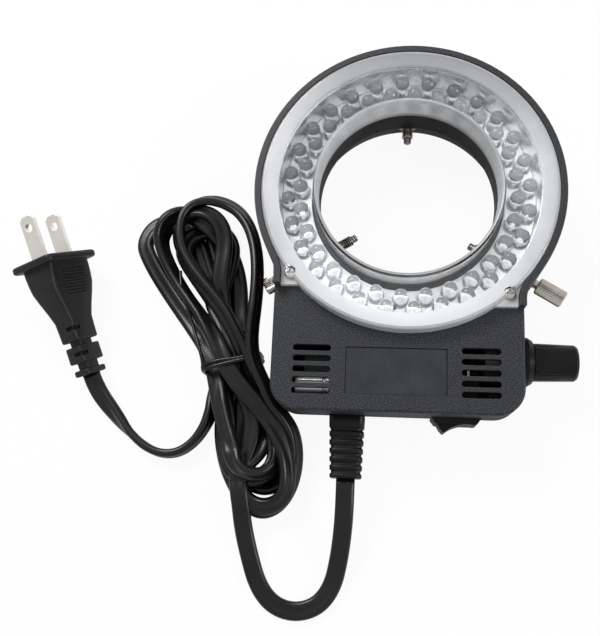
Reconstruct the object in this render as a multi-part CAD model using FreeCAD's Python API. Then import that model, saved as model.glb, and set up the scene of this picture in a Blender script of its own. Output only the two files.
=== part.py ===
import FreeCAD, Part
import math
import os
from FreeCAD import Placement, Rotation, Vector

# LED ring light for a stereo microscope, with its dimmer box, mains cord and plug.
# It lies on its back with the lit face up. Heights are measured up from the back face, and
# every piece is lowered by LEAD_IN as it is saved, so that the frame's origin is the lower end
# of the clamping bore. +Z is the bore's axis, the box lies towards -Y, the knob towards +X.

os.makedirs("parts", exist_ok=True)

# ---------------------------------------------------------------- driving dimensions (mm)
# clamping bore and LED rings, from the bore outwards
FIT = 0.15                # loose fit between pieces that are put together
BORE_R = 30.5             # cylindrical clamping wall
BORE_WALL = 1.8
BORE_TOP = 21.2           # where the clear cover's inner skirt stands on the wall
LEAD_IN = 12.0            # depth of the lead-in cone at the back
LEAD_IN_WIDE = 4.0        # how much wider that cone is at the back face
LED_R = 2.45
LED_FLANGE_R = 2.85
LED_FLANGE_T = 1.0
LED_H = 8.6
LED_COUNT = 28            # in each of two rings, set half a pitch apart
LED_PHASE = 273.5
LED_FROM_BORE = 6.4       # from the bore's wall to the inner ring of LEDs
LED_ROWS = 3.9            # from one ring to the other
REFLECTOR_GAP = 0.05
REFLECTOR_T = 1.0
REFLECTOR_W = 3.1         # bright flange with its pads round the LEDs
TRAY_GAP = 0.9
TRAY_WALL = 4.0           # wall between the tray and the outside of the rim
RIM_WALL = 2.1
RIM_TOP = 31.7
RIM_EDGE = 0.35
TRAY_TOP = 16.9           # floor that the LED board lies on
TRAY_T = 2.0
INNER_RING_R = BORE_R + LED_FROM_BORE
OUTER_RING_R = INNER_RING_R + LED_ROWS
REFLECTOR_R = OUTER_RING_R + LED_FLANGE_R + REFLECTOR_GAP
REFLECTOR_OUT_R = REFLECTOR_R + REFLECTOR_W
TRAY_R = REFLECTOR_OUT_R + TRAY_GAP
RING_R = TRAY_R + TRAY_WALL
MOUTH_R = BORE_R + LEAD_IN_WIDE
# dimmer box
BOX_LEFT = -43.7
BOX_RIGHT = 37.8
BOX_BOTTOM = -75.3
BOX_TOP = 26.6
BOX_CORNER = 9.0
NECK_R = 9.0              # hollow corner between ring and box
WALL = 2.2
EDGE_R = 0.9              # softened front edges
TAPER_H = 13.0            # the lower part draws in towards the back
TAPER_W = 1.7
BACK_T = 2.2              # back plate
LIP_T = 1.2
LIP_H = 1.6
BOX_REACH = -15.0         # the box runs on this far under the ring
# seats for the cover's two ears
EAR_LEFT_END = -34.3
EAR_RIGHT_END = -40.5
EAR_TOP = -12.0
EAR_FROM_X = 25.0
EAR_T = 2.0
COVER_SCREWS = ((-38.4, -30.5), (32.8, -36.4))
COVER_SCREW_IN = 5.0
SCREW_HEAD_R = 1.85
SCREW_HEAD_H = 1.5
SCREW_R = 1.1
# clear cover
COVER_TOP = 32.0
COVER_T = 2.0
COVER_SKIRT = 1.5
COVER_EDGE = 1.0
# reflector pads
PAD_ANGLES = (0, 60, 120, 180, 240, 300)
PAD_R = REFLECTOR_OUT_R - 0.8
PAD_LONG = 5.3
PAD_WIDE = 2.6
PAD_H = 0.8
BOARD_T = 1.6
BOARD_IN = INNER_RING_R - 3.2
# clamping thumbscrews
THUMB_Z = 8.0
THUMB_BACK_R = BORE_R + 2.8       # tip radius with a screw backed out of the bore
THREAD_R = 1.95
THREAD_PITCH = 0.7
THREAD_DEPTH = 0.35
THUMB_LENGTH = 37.5
THUMB_HEAD = 10.1
THUMB_HEAD_R = 3.0
THUMB_NECK = 2.0
DOG_R = 1.3
DOG_L = 2.0
KNURLS = 26
RUN = 0.06                # running clearance on a radius
SLEEVE_R = 3.0
SPOT_R = 4.2
SLEEVE_BOSS_R = 5.0
SPOT_FLOOR = RING_R - 4.1         # distance of the spot face from the bore's axis
# gap between each screw's head and its spot face, as the screw stands
THUMB_TOP_GAP = 5.8
THUMB_LEFT_GAP = 0.3
THUMB_RIGHT_GAP = 5.4
THUMB_IN = SPOT_FLOOR - (THUMB_LENGTH - THUMB_HEAD)     # tip radius with the head on its spot face
THUMBS = {"top": (90, THUMB_IN + THUMB_TOP_GAP), "left": (211, THUMB_IN + THUMB_LEFT_GAP),
          "right": (329, THUMB_IN + THUMB_RIGHT_GAP)}
# vents and name recess
VENT_PITCH = 3.53
VENT_W = 2.1
VENT_L = 12.6
VENT_COUNT = 5
VENTS_X = (-30.35, 24.05)
VENT_FIRST_Y = -54.9
LABEL = (-19.2, 13.2, -69.6, -54.5)
LABEL_DEPTH = 1.2
LABEL_T = 0.7
# dimmer
KNOB_Y = -55.6
KNOB_Z = 13.5
KNOB_R = 6.35
KNOB_END_R = 6.0
KNOB_L = 14.2
SKIRT_R = 8.2
SKIRT_L = 4.2
FLUTES = 18
SHAFT_R = 3.0
BUSHING_R = 3.6
BUSHING_L = 4.8
POT_R = 8.0
POT_L = 8.0
POT_TAG = 0.8
NUT_AF = 10.0
NUT_T = 1.6
KNOB_GAP = 0.4
# rocker switch
SWITCH_X = 16.8
SWITCH_Z = 13.0
BEZEL_X = 16.2
BEZEL_Z = 11.0
BEZEL_T = 2.0
BEZEL_SLOPE = 1.4
SWITCH_X_IN = 14.6
SWITCH_Z_IN = 9.6
SWITCH_DEPTH = 12.0
ROCKER_R = 6.5            # the rocker's ends are arcs about its pin
ROCKER_W = 8.0
ROCKER_PIN_R = 1.0
PIN_BELOW_BEZEL = 2.3
ROCKER_TILT = 15.0        # half of its travel, degrees
ROCKER_CORNER = 52.0      # angle from the middle of the rocker to its raised corner
ROCKER_HOLLOW = 1.3
ROCKER_GAP = 0.15
# strain relief and cord
RELIEF_X = -18.7
RELIEF_Z = 12.5
RELIEF_W = 11.8
RELIEF_H = 9.4
RELIEF_END_W = 10.4
RELIEF_END_H = 7.6
RELIEF_L = 20.6
RELIEF_GROOVES = 6
GROOVE_PITCH = 2.75
GROOVE_FIRST = 4.9
GROOVE_W = 1.2
GROOVE_D = 0.8
CORD_W = 6.2
CORD_T = 3.2
CORD_LAY = CORD_T / 2
# plug
FLANGE_W = 26.2
FLANGE_H = 17.6
FLANGE_T = 2.4
BLADE_GAP = 12.7
BLADE_W = 6.35
BLADE_T = 1.5
BLADE_L = 16.2
BLADE_IN = 5.0
BLADE_HOLE_R = 1.6
BLADE_HOLE_FROM_TIP = 4.2
# body sections behind the flange: distance from its front face, width, height, cut corner
PLUG_BODY = ((2.3, 20.2, 14.0, 1.0), (8.0, 21.2, 12.4, 1.0), (11.0, 21.2, 11.4, 1.0), (14.5, 18.6, 10.6, 1.0),
             (19.0, 14.6, 9.4, 1.0), (23.0, 11.8, 8.3, 1.0), (30.8, 11.4, 8.0, 1.0))
PLUG_NECKS = ((30.7, 32.8, 6.8, 5.2), (38.6, 41.6, 6.4, 4.8))
PLUG_BLOCKS = ((32.7, 38.7, 10.8, 7.6), (41.5, 43.4, 10.0, 7.0))
PLUG_WINDOWS = (26.0, 35.4)
PLUG_END = 43.4
RIB_COUNT = 9
RIB_PITCH = 1.1
RIB_FIRST = 5.4
PLUG_ROLL = 63.6          # the plug lies rolled on a corner of its flange
PLUG_HEADING = 110.1
PLUG_RISE = 14.6
PLUG_AT = Vector(-125.7, -22.7, 16.15)      # middle of the flange's front face
# back screws: two in the ring, two in the box's corners
BACK_SCREWS = ((36.2, 20.9), (-36.2, 20.9), (-36.5, -68.1), (30.6, -68.1))
BOSS_R = 3.0
CORNER_BOSS_TOP = 10.2
BACK_HEAD_R = 2.6
BACK_SCREW_L = 9.0
# inside: where wires pass from the LED board, and the driver board with its parts
WIRE_HOLE = (-4.0, -39.0)
DRIVER = (-34.0, 6.0, -69.0, -53.0)
TRANSFORMER = (-8.6, 4.8, -66.6, -57.0, 9.4)
FILM = (-20.2, -11.2, -62.8, -57.4, 8.4)
BOARD_Z = 10.6
POST_R = 2.0
CAP_R = 5.0
CAP_X = (-36.2, -24.4)
CAP_Y = -66.2
SEAT_T = WALL + TAPER_W    # wall with its flat seats for what passes through it
RELIEF_NECK = 1.6         # how far the hole through the wall is smaller than the relief, each side
FAR = 200.0

saved = {}


def save(name, shape):
    """Check a piece, lower it into the frame and write it."""
    if not shape.isValid() or shape.Volume <= 0:
        print("BAD", name, shape.isValid(), round(shape.Volume, 2))
    placed = shape.copy()
    placed.translate(Vector(0, 0, -LEAD_IN))
    placed.exportStep("parts/" + name + ".step")
    saved[name] = shape
    print(f"{name:18s} {shape.Volume:9.1f} mm3  {len(shape.Solids)} solid(s)")


# ---------------------------------------------------------------- small shape makers
def block(x0, x1, y0, y1, z0, z1):
    return Part.makeBox(x1 - x0, y1 - y0, z1 - z0, Vector(x0, y0, z0))


def disc(r, z0, z1, x=0.0, y=0.0):
    return Part.makeCylinder(r, z1 - z0, Vector(x, y, z0))


def annulus(r_in, r_out, z0, z1):
    return disc(r_out, z0, z1).cut(disc(r_in, z0 - 1, z1 + 1))


def fuse_all(shapes):
    first = shapes[0]
    if len(shapes) == 1:
        return first
    return first.multiFuse(shapes[1:]).removeSplitter()


def turned(profile, axis=Vector(0, 0, 1)):
    """Solid of revolution about an axis through the origin, from points in the XZ plane."""
    points = [Vector(a, 0, b) for a, b in profile]
    face = Part.Face(Part.makePolygon(points + [points[0]]))
    return face.revolve(Vector(0, 0, 0), axis, 360)


def prism(points, length, along):
    face = Part.Face(Part.makePolygon(points + [points[0]]))
    return face.extrude(along * length)


def rounded_plate(x0, x1, y0, y1, z0, z1, r):
    plate = block(x0, x1, y0, y1, z0, z1)
    upright = [e for e in plate.Edges if abs(e.tangentAt(e.FirstParameter).z) > 0.99]
    return plate.makeFillet(r, upright)


def radial(shape, angle, height=THUMB_Z):
    """Turn a shape built along +X to an angle round the bore, at a height."""
    out = shape.copy()
    out.rotate(Vector(0, 0, 0), Vector(0, 0, 1), angle)
    out.translate(Vector(0, 0, height))
    return out


def along_x(r, x0, x1):
    return Part.makeCylinder(r, x1 - x0, Vector(x0, 0, 0), Vector(1, 0, 0))


def upright_edges(shape, x, y, near=1.0):
    found = []
    for e in shape.Edges:
        middle = e.CenterOfMass
        if abs(e.tangentAt(e.FirstParameter).z) > 0.99 and abs(middle.x - x) < near and abs(middle.y - y) < near:
            found.append(e)
    return found


# ---------------------------------------------------------------- outline shared by the shells
def outline(inset, z0, z1):
    """Ring and box in one outline, drawn in by inset, between two heights."""
    ring_r = RING_R - inset
    left = BOX_LEFT + inset
    right = BOX_RIGHT - inset
    bottom = BOX_BOTTOM + inset
    box = block(left, right, bottom, BOX_REACH, z0, z1)
    corners = upright_edges(box, left, bottom) + upright_edges(box, right, bottom)
    box = box.makeFillet(BOX_CORNER - inset, corners)
    body = disc(ring_r, z0, z1).fuse(box).removeSplitter()
    for side in (left, right):
        meets = -math.sqrt(ring_r ** 2 - side ** 2)
        body = body.makeFillet(NECK_R + inset, upright_edges(body, side, meets))
    return body


def bottom_wire(shape, z):
    faces = [f for f in shape.Faces if abs(f.CenterOfMass.z - z) < 1e-6 and abs(f.normalAt(0, 0).z) > 0.99]
    return faces[0].OuterWire


def tapered_outline(z_cut, top):
    """The shells' outside: straight sides above TAPER_H, drawn in below, from z_cut up to top."""
    low = bottom_wire(outline(TAPER_W, 0, 1), 0)
    high = bottom_wire(outline(0, TAPER_H, TAPER_H + 1), TAPER_H)
    skirt = Part.makeLoft([low, high], True, True)
    body = skirt.fuse(outline(0, TAPER_H, top)).removeSplitter()
    if z_cut > 0:
        body = body.cut(block(-FAR, FAR, -FAR, FAR, -FAR, z_cut))
    return body


def zone_above_ears(z0, z1):
    """Where the rim stands: everything past the ends of the two ears."""
    return block(-FAR, 0, EAR_LEFT_END, FAR, z0, z1).fuse(block(0, FAR, EAR_RIGHT_END, FAR, z0, z1))


def ear_pocket(inset, z0, z1):
    """Outline of the two ears beside the ring."""
    shape = outline(inset, z0, z1)
    left = block(-FAR, -EAR_FROM_X, EAR_LEFT_END, EAR_TOP, z0, z1)
    right = block(EAR_FROM_X, FAR, EAR_RIGHT_END, EAR_TOP, z0, z1)
    return shape.common(left.fuse(right))


def bore_cut():
    cone = Part.makeCone(MOUTH_R, BORE_R, LEAD_IN, Vector(0, 0, 0))
    return cone.fuse([disc(BORE_R, LEAD_IN - 0.01, FAR), disc(MOUTH_R, -FAR, 0)])


def bore_tower():
    """The bore wall's outer surface, as a solid up to its top."""
    cone = Part.makeCone(MOUTH_R + BORE_WALL, BORE_R + BORE_WALL, LEAD_IN, Vector(0, 0, 0))
    return cone.fuse(disc(BORE_R + BORE_WALL, LEAD_IN - 0.01, BORE_TOP))


def slot(x, y, z0, z1):
    half = (VENT_L - VENT_W) / 2
    bar = block(x - half, x + half, y - VENT_W / 2, y + VENT_W / 2, z0, z1)
    return bar.fuse([disc(VENT_W / 2, z0, z1, x - half, y), disc(VENT_W / 2, z0, z1, x + half, y)])


def slot_cutters():
    cutters = []
    for x in VENTS_X:
        for i in range(VENT_COUNT):
            cutters.append(slot(x, VENT_FIRST_Y - i * VENT_PITCH, BOX_TOP - WALL - 3, BOX_TOP + 1))
    return cutters


# ---------------------------------------------------------------- front housing
def inside_bosses():
    """Bosses for the screws, tubes round the threaded sleeves, flat seats for dimmer and relief."""
    lot = []
    for x, y in BACK_SCREWS:
        in_ring = math.hypot(x, y) < RING_R
        lot.append(disc(BOSS_R, BACK_T, TRAY_TOP - 1 if in_ring else CORNER_BOSS_TOP, x, y))
    for x, y in COVER_SCREWS:
        lot.append(disc(SCREW_R + 1.4, BOX_TOP - COVER_SCREW_IN - 1, BOX_TOP, x, y))
    for angle, _ in THUMBS.values():
        lot.append(radial(along_x(SLEEVE_BOSS_R, BORE_R + BORE_WALL + 0.4, RING_R - 1.5), angle).cut(bore_cut()))
    seat = Part.makeCylinder(POT_R + 0.5, SEAT_T - 0.5, Vector(BOX_RIGHT - SEAT_T, KNOB_Y, KNOB_Z), Vector(1, 0, 0))
    lot.append(seat)
    half = RELIEF_W / 2
    lot.append(block(RELIEF_X - half, RELIEF_X + half, BOX_BOTTOM + 1, BOX_BOTTOM + SEAT_T,
                     RELIEF_Z - RELIEF_H / 2 - 1, RELIEF_Z + RELIEF_H / 2))
    return lot


def front_housing():
    body = tapered_outline(BACK_T, BOX_TOP)
    body = body.makeFillet(EDGE_R, [e for e in body.Edges if abs(e.CenterOfMass.z - BOX_TOP) < 1e-6])
    rim_from = BOX_TOP - EDGE_R - 0.1
    rim = outline(0, rim_from, RIM_TOP)
    rim = rim.makeFillet(RIM_EDGE, [e for e in rim.Edges if abs(e.CenterOfMass.z - RIM_TOP) < 1e-6])
    rim = rim.common(zone_above_ears(rim_from, RIM_TOP))
    body = body.fuse(rim).removeSplitter()
    lower_inside = outline(WALL + TAPER_W, -1, TAPER_H)
    ring_space = outline(WALL, TAPER_H, TRAY_TOP - TRAY_T).fuse(lower_inside).cut(bore_tower())
    box_space = outline(WALL, TRAY_TOP - TRAY_T - 1, BOX_TOP - WALL).cut(disc(TRAY_R + WALL, -1, BOX_TOP))
    seat = disc(RING_R - RIM_WALL, BOX_TOP, FAR).fuse(ear_pocket(RIM_WALL, BOX_TOP, FAR))
    tray = disc(TRAY_R, TRAY_TOP, FAR).cut(bore_tower())
    cuts = [ring_space, box_space, seat, tray, bore_cut()]
    for cutter in cuts:
        body = body.cut(cutter)
    body = body.fuse(inside_bosses()).removeSplitter()
    holes = [disc(SCREW_R, BACK_T - 1, BACK_T + BACK_SCREW_L, x, y) for x, y in BACK_SCREWS]
    holes += [disc(SCREW_R, BOX_TOP - COVER_SCREW_IN, FAR, x, y) for x, y in COVER_SCREWS]
    holes += slot_cutters()
    x0, x1, y0, y1 = LABEL
    holes.append(block(x0 - FIT, x1 + FIT, y0 - FIT, y1 + FIT, BOX_TOP - LABEL_DEPTH, FAR))
    holes.append(disc(1.8, TRAY_TOP - TRAY_T - 1, TRAY_TOP + 1, *WIRE_HOLE))
    for angle, _ in THUMBS.values():
        holes.append(radial(along_x(SLEEVE_R, BORE_R, FAR), angle))
        holes.append(radial(along_x(SPOT_R, SPOT_FLOOR, FAR), angle))
    across = Part.makeCylinder(BUSHING_R + FIT, 10, Vector(BOX_RIGHT - 8, KNOB_Y, KNOB_Z), Vector(1, 0, 0))
    holes.append(across)
    half_x = SWITCH_X_IN / 2 + FIT
    half_z = SWITCH_Z_IN / 2 + FIT
    holes.append(block(SWITCH_X - half_x, SWITCH_X + half_x, BOX_BOTTOM - 5, BOX_BOTTOM + 10,
                       SWITCH_Z - half_z, SWITCH_Z + half_z))
    half_x = RELIEF_W / 2 - RELIEF_NECK
    half_z = RELIEF_H / 2 - RELIEF_NECK
    holes.append(block(RELIEF_X - half_x, RELIEF_X + half_x, BOX_BOTTOM - 5, BOX_BOTTOM + 10,
                       RELIEF_Z - half_z, RELIEF_Z + half_z))
    for hole in holes:
        body = body.cut(hole)
    return body


save("front_housing", front_housing())


# ---------------------------------------------------------------- back plate and its screws
def back_cover():
    plate = tapered_outline(0, BOX_TOP).common(block(-FAR, FAR, -FAR, FAR, -1, BACK_T))
    inside = WALL + TAPER_W + FIT
    lip = outline(inside, BACK_T - 0.5, BACK_T + LIP_H)
    lip = lip.cut(outline(inside + LIP_T, BACK_T - 1, BACK_T + LIP_H + 1))
    for x, y in BACK_SCREWS:
        lip = lip.cut(disc(BOSS_R + 0.3, 0, 20, x, y))
    for angle, _ in THUMBS.values():
        lip = lip.cut(radial(along_x(SLEEVE_BOSS_R + 0.3, BORE_R, FAR), angle))
    plate = plate.fuse(lip).removeSplitter().cut(bore_cut())
    for x, y in BACK_SCREWS:
        plate = plate.cut(disc(SCREW_R + 0.2, -1, BACK_T + 1, x, y))
        plate = plate.cut(Part.makeCone(BACK_HEAD_R + 0.1, SCREW_R + 0.1, 1.5, Vector(x, y, 0)))
    return plate


save("back_cover", back_cover())


def back_screw(x, y):
    head = Part.makeCone(BACK_HEAD_R, SCREW_R, 1.5, Vector(x, y, 0.05))
    shank = disc(SCREW_R, 1.5, BACK_SCREW_L, x, y)
    cross = block(x - 1.4, x + 1.4, y - 0.3, y + 0.3, 0, 0.8).fuse(block(x - 0.3, x + 0.3, y - 1.4, y + 1.4, 0, 0.8))
    return head.fuse(shank).removeSplitter().cut(cross)


save("back_screws", Part.makeCompound([back_screw(x, y) for x, y in BACK_SCREWS]))


# ---------------------------------------------------------------- LED board, LEDs and reflector
def led_board():
    board = annulus(BOARD_IN, REFLECTOR_R - FIT, TRAY_TOP, TRAY_TOP + BOARD_T)
    return board.cut(disc(1.0, TRAY_TOP - 1, TRAY_TOP + 3, *WIRE_HOLE))


save("led_board", led_board())


def led(x, y):
    """Round-topped clear LED with its flange, standing on the board."""
    base = TRAY_TOP + BOARD_T
    flange = disc(LED_FLANGE_R, base, base + LED_FLANGE_T, x, y)
    barrel = disc(LED_R, base + LED_FLANGE_T, base + LED_H - LED_R, x, y)
    dome = Part.makeSphere(LED_R, Vector(x, y, base + LED_H - LED_R), Vector(0, 0, 1), 0, 90)
    return flange.fuse([barrel, dome]).removeSplitter()


def led_ring(r, offset):
    pitch = 360.0 / LED_COUNT
    leds = []
    for i in range(LED_COUNT):
        a = math.radians(LED_PHASE + (i + offset) * pitch)
        leds.append(led(r * math.cos(a), r * math.sin(a)))
    return Part.makeCompound(leds)


save("leds_outer", led_ring(OUTER_RING_R, 0.0))
save("leds_inner", led_ring(INNER_RING_R, 0.5))


def reflector():
    top = COVER_TOP - COVER_T - PAD_H
    wall = annulus(REFLECTOR_R, REFLECTOR_R + REFLECTOR_T, TRAY_TOP, top)
    flange = annulus(REFLECTOR_R, REFLECTOR_OUT_R, top - REFLECTOR_T, top)
    pads = []
    for angle in PAD_ANGLES:
        pad = block(PAD_R - PAD_WIDE / 2, PAD_R + PAD_WIDE / 2, -PAD_LONG / 2, PAD_LONG / 2, -0.2, PAD_H)
        pads.append(radial(pad, angle, top))
    return wall.fuse([flange] + pads).removeSplitter()


save("reflector", reflector())


# ---------------------------------------------------------------- clear cover and its screws
def rounded_profile(points):
    """Closed XZ outline from (x, z, corner radius) points."""
    count = len(points)
    edges = []
    ends = []
    for i, (x, z, r) in enumerate(points):
        here = Vector(x, 0, z)
        if r == 0:
            ends.append((here, here, None))
            continue
        before = Vector(points[i - 1][0], 0, points[i - 1][1])
        after = Vector(points[(i + 1) % count][0], 0, points[(i + 1) % count][1])
        to_before = (before - here).normalize()
        to_after = (after - here).normalize()
        half = to_before.getAngle(to_after) / 2
        reach = r / math.tan(half)
        bisector = (to_before + to_after).normalize()
        middle = here + bisector * (r / math.sin(half) - r)
        ends.append((here + to_before * reach, here + to_after * reach, middle))
    for i, (start, end, middle) in enumerate(ends):
        if middle is not None:
            edges.append(Part.Arc(start, middle, end).toShape())
        edges.append(Part.LineSegment(end, ends[(i + 1) % count][0]).toShape())
    return Part.Face(Part.Wire(edges))


def clear_cover():
    out_r = RING_R - RIM_WALL - FIT
    in_r = BORE_R
    low = BOX_TOP
    under = COVER_TOP - COVER_T
    section = rounded_profile([(in_r, BORE_TOP, 0), (in_r, COVER_TOP, COVER_EDGE), (out_r, COVER_TOP, COVER_EDGE),
                               (out_r, low, 0), (out_r - COVER_SKIRT, low, 0), (out_r - COVER_SKIRT, under, 0),
                               (in_r + COVER_SKIRT, under, 0), (in_r + COVER_SKIRT, BORE_TOP, 0)])
    ring = section.revolve(Vector(0, 0, 0), Vector(0, 0, 1), 360)
    ears = ear_pocket(RIM_WALL + FIT, low, low + EAR_T).cut(disc(out_r - COVER_SKIRT, 0, FAR))
    cover = ring.fuse(ears).removeSplitter()
    for x, y in COVER_SCREWS:
        cover = cover.cut(disc(SCREW_R + 0.2, low - 1, FAR, x, y))
        cover = cover.cut(disc(SCREW_HEAD_R + 0.25, low + EAR_T, FAR, x, y))
    return cover


save("clear_cover", clear_cover())


def cover_screw(x, y):
    seat = BOX_TOP + EAR_T
    head = disc(SCREW_HEAD_R, seat, seat + SCREW_HEAD_H, x, y)
    head = head.makeFillet(0.7, [e for e in head.Edges if abs(e.CenterOfMass.z - seat - SCREW_HEAD_H) < 1e-6])
    shank = disc(SCREW_R, BOX_TOP - COVER_SCREW_IN + 0.2, seat + 0.1, x, y)
    top = seat + SCREW_HEAD_H
    cross = block(x - 1.2, x + 1.2, y - 0.28, y + 0.28, top - 0.8, top + 1)
    cross = cross.fuse(block(x - 0.28, x + 0.28, y - 1.2, y + 1.2, top - 0.8, top + 1))
    return head.fuse(shank).removeSplitter().cut(cross)


save("cover_screws", Part.makeCompound([cover_screw(x, y) for x, y in COVER_SCREWS]))


# ---------------------------------------------------------------- clamping thumbscrews
def thumbscrew():
    """Built along +X with the tip at the origin."""
    head_at = THUMB_LENGTH - THUMB_HEAD
    thread_end = head_at - THUMB_NECK
    profile = [(0, 0), (0, DOG_R - 0.3), (0.3, DOG_R), (DOG_L, DOG_R)]
    x = DOG_L
    core = THREAD_R - THREAD_DEPTH
    profile.append((x, core))
    while x + THREAD_PITCH <= thread_end:
        profile.append((x + THREAD_PITCH / 2, THREAD_R))
        profile.append((x + THREAD_PITCH, core))
        x += THREAD_PITCH
    profile += [(head_at, core), (head_at, 0)]
    points = [Vector(a, 0, b) for a, b in profile]
    shaft = Part.Face(Part.makePolygon(points + [points[0]])).revolve(Vector(0, 0, 0), Vector(1, 0, 0), 360)
    star = []
    for i in range(KNURLS * 2):
        a = math.pi * i / KNURLS
        r = THUMB_HEAD_R if i % 2 == 0 else THUMB_HEAD_R - 0.3
        star.append(Vector(head_at, r * math.cos(a), r * math.sin(a)))
    head = prism(star, THUMB_HEAD, Vector(1, 0, 0))
    edge = 0.5
    limits = [(0, 0), (0, THUMB_HEAD_R - edge), (edge, THUMB_HEAD_R), (THUMB_HEAD - edge, THUMB_HEAD_R),
              (THUMB_HEAD, THUMB_HEAD_R - edge), (THUMB_HEAD, 0)]
    points = [Vector(head_at + a, 0, b) for a, b in limits]
    limit = Part.Face(Part.makePolygon(points + [points[0]])).revolve(Vector(0, 0, 0), Vector(1, 0, 0), 360)
    return shaft.fuse(head.common(limit)).removeSplitter()


def sleeve():
    """Threaded metal sleeve through both walls of the ring, built along +X."""
    tube = along_x(SLEEVE_R, BORE_R, SPOT_FLOOR).cut(along_x(THREAD_R + RUN, BORE_R - 1, SPOT_FLOOR + 1))
    tube.translate(Vector(0, 0, THUMB_Z))
    tube = tube.cut(bore_cut())
    tube.translate(Vector(0, 0, -THUMB_Z))
    return tube


screw = thumbscrew()
sleeves = []
for place, (angle, tip_r) in THUMBS.items():
    out = screw.copy()
    out.translate(Vector(tip_r, 0, 0))
    save("thumbscrew_" + place, radial(out, angle))
    sleeves.append(radial(sleeve(), angle))
    print("  joint", place, "head clears the spot face by", round(tip_r + THUMB_LENGTH - THUMB_HEAD - SPOT_FLOOR, 2))
save("thread_sleeves", Part.makeCompound(sleeves))


# ---------------------------------------------------------------- name plate
x0, x1, y0, y1 = LABEL
plate_z = BOX_TOP - LABEL_DEPTH
save("label_plate", block(x0, x1, y0, y1, plate_z, plate_z + LABEL_T))


# ---------------------------------------------------------------- dimmer: knob, shaft and control
def at_knob(shape):
    out = shape.copy()
    out.translate(Vector(BOX_RIGHT, KNOB_Y, KNOB_Z))
    return out


def turned_x(profile):
    points = [Vector(a, 0, b) for a, b in profile]
    return Part.Face(Part.makePolygon(points + [points[0]])).revolve(Vector(0, 0, 0), Vector(1, 0, 0), 360)


def dimmer_knob():
    """Fluted knob on a rounded skirt, built along +X from the box's side."""
    base = KNOB_GAP
    grip = base + SKIRT_L
    end = grip + KNOB_L
    skirt = turned_x([(base, 0), (base, SKIRT_R - 0.6), (base + 0.6, SKIRT_R), (base + 1.9, SKIRT_R),
                      (base + 3.4, SKIRT_R - 0.9), (grip, SKIRT_R - 2.4), (grip, 0)])
    body = turned_x([(grip - 0.1, 0), (grip - 0.1, KNOB_R), (end - 1.2, KNOB_END_R), (end - 0.4, KNOB_END_R - 0.6),
                     (end, KNOB_END_R - 2.2), (end, 0)])
    for i in range(FLUTES):
        a = 2 * math.pi * i / FLUTES
        out = KNOB_R + 0.35
        groove = Part.makeCylinder(0.62, KNOB_L + 2, Vector(grip + 0.6, out * math.cos(a), out * math.sin(a)),
                                   Vector(1, 0, 0))
        body = body.cut(groove)
    knob = skirt.fuse(body).removeSplitter()
    nut_room = Part.makeCylinder(NUT_AF / 2 + 1.2, NUT_T + 0.8, Vector(0, 0, 0), Vector(1, 0, 0))
    bushing_room = Part.makeCylinder(BUSHING_R + 0.4, BUSHING_L, Vector(0, 0, 0), Vector(1, 0, 0))
    shaft_room = Part.makeCylinder(SHAFT_R, end - 3, Vector(0, 0, 0), Vector(1, 0, 0))
    return knob.cut(nut_room).cut(bushing_room).cut(shaft_room)


save("dimmer_knob", at_knob(dimmer_knob()))
SHAFT_IN = -SEAT_T - 5.0
knob_end = KNOB_GAP + SKIRT_L + KNOB_L - 3
save("pot_shaft", at_knob(Part.makeCylinder(SHAFT_R, knob_end - SHAFT_IN, Vector(SHAFT_IN, 0, 0), Vector(1, 0, 0))))


def pot_body():
    """Dimmer control behind the wall, with its threaded bushing through it and three tags."""
    can = Part.makeCylinder(POT_R, POT_L, Vector(-SEAT_T - POT_L, 0, 0), Vector(1, 0, 0))
    bushing = Part.makeCylinder(BUSHING_R, SEAT_T + BUSHING_L - 1.0, Vector(-SEAT_T - 0.1, 0, 0), Vector(1, 0, 0))
    tags = block(-SEAT_T - POT_L + 1, -SEAT_T - POT_L + 2.2, -6.5, 6.5, -POT_R - POT_TAG, -POT_R + 2)
    body = can.fuse([bushing, tags]).removeSplitter()
    bore = Part.makeCylinder(SHAFT_R + RUN, FAR, Vector(SHAFT_IN - 0.3, 0, 0), Vector(1, 0, 0))
    return body.cut(bore)


save("pot_body", at_knob(pot_body()))


def pot_nut():
    flats = []
    r = NUT_AF / 2 / math.cos(math.pi / 6)
    for i in range(6):
        a = math.pi / 3 * i
        flats.append(Vector(0, r * math.cos(a), r * math.sin(a)))
    nut = prism(flats, NUT_T, Vector(1, 0, 0))
    return nut.cut(Part.makeCylinder(BUSHING_R, 4 * NUT_T, Vector(-NUT_T, 0, 0), Vector(1, 0, 0)))


save("pot_nut", at_knob(pot_nut()))


# ---------------------------------------------------------------- rocker switch in the box's end
def at_switch(shape):
    out = shape.copy()
    out.translate(Vector(SWITCH_X, BOX_BOTTOM, SWITCH_Z))
    return out


PIN_Y = PIN_BELOW_BEZEL - BEZEL_T      # the pin's place behind the wall's outer face


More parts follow.
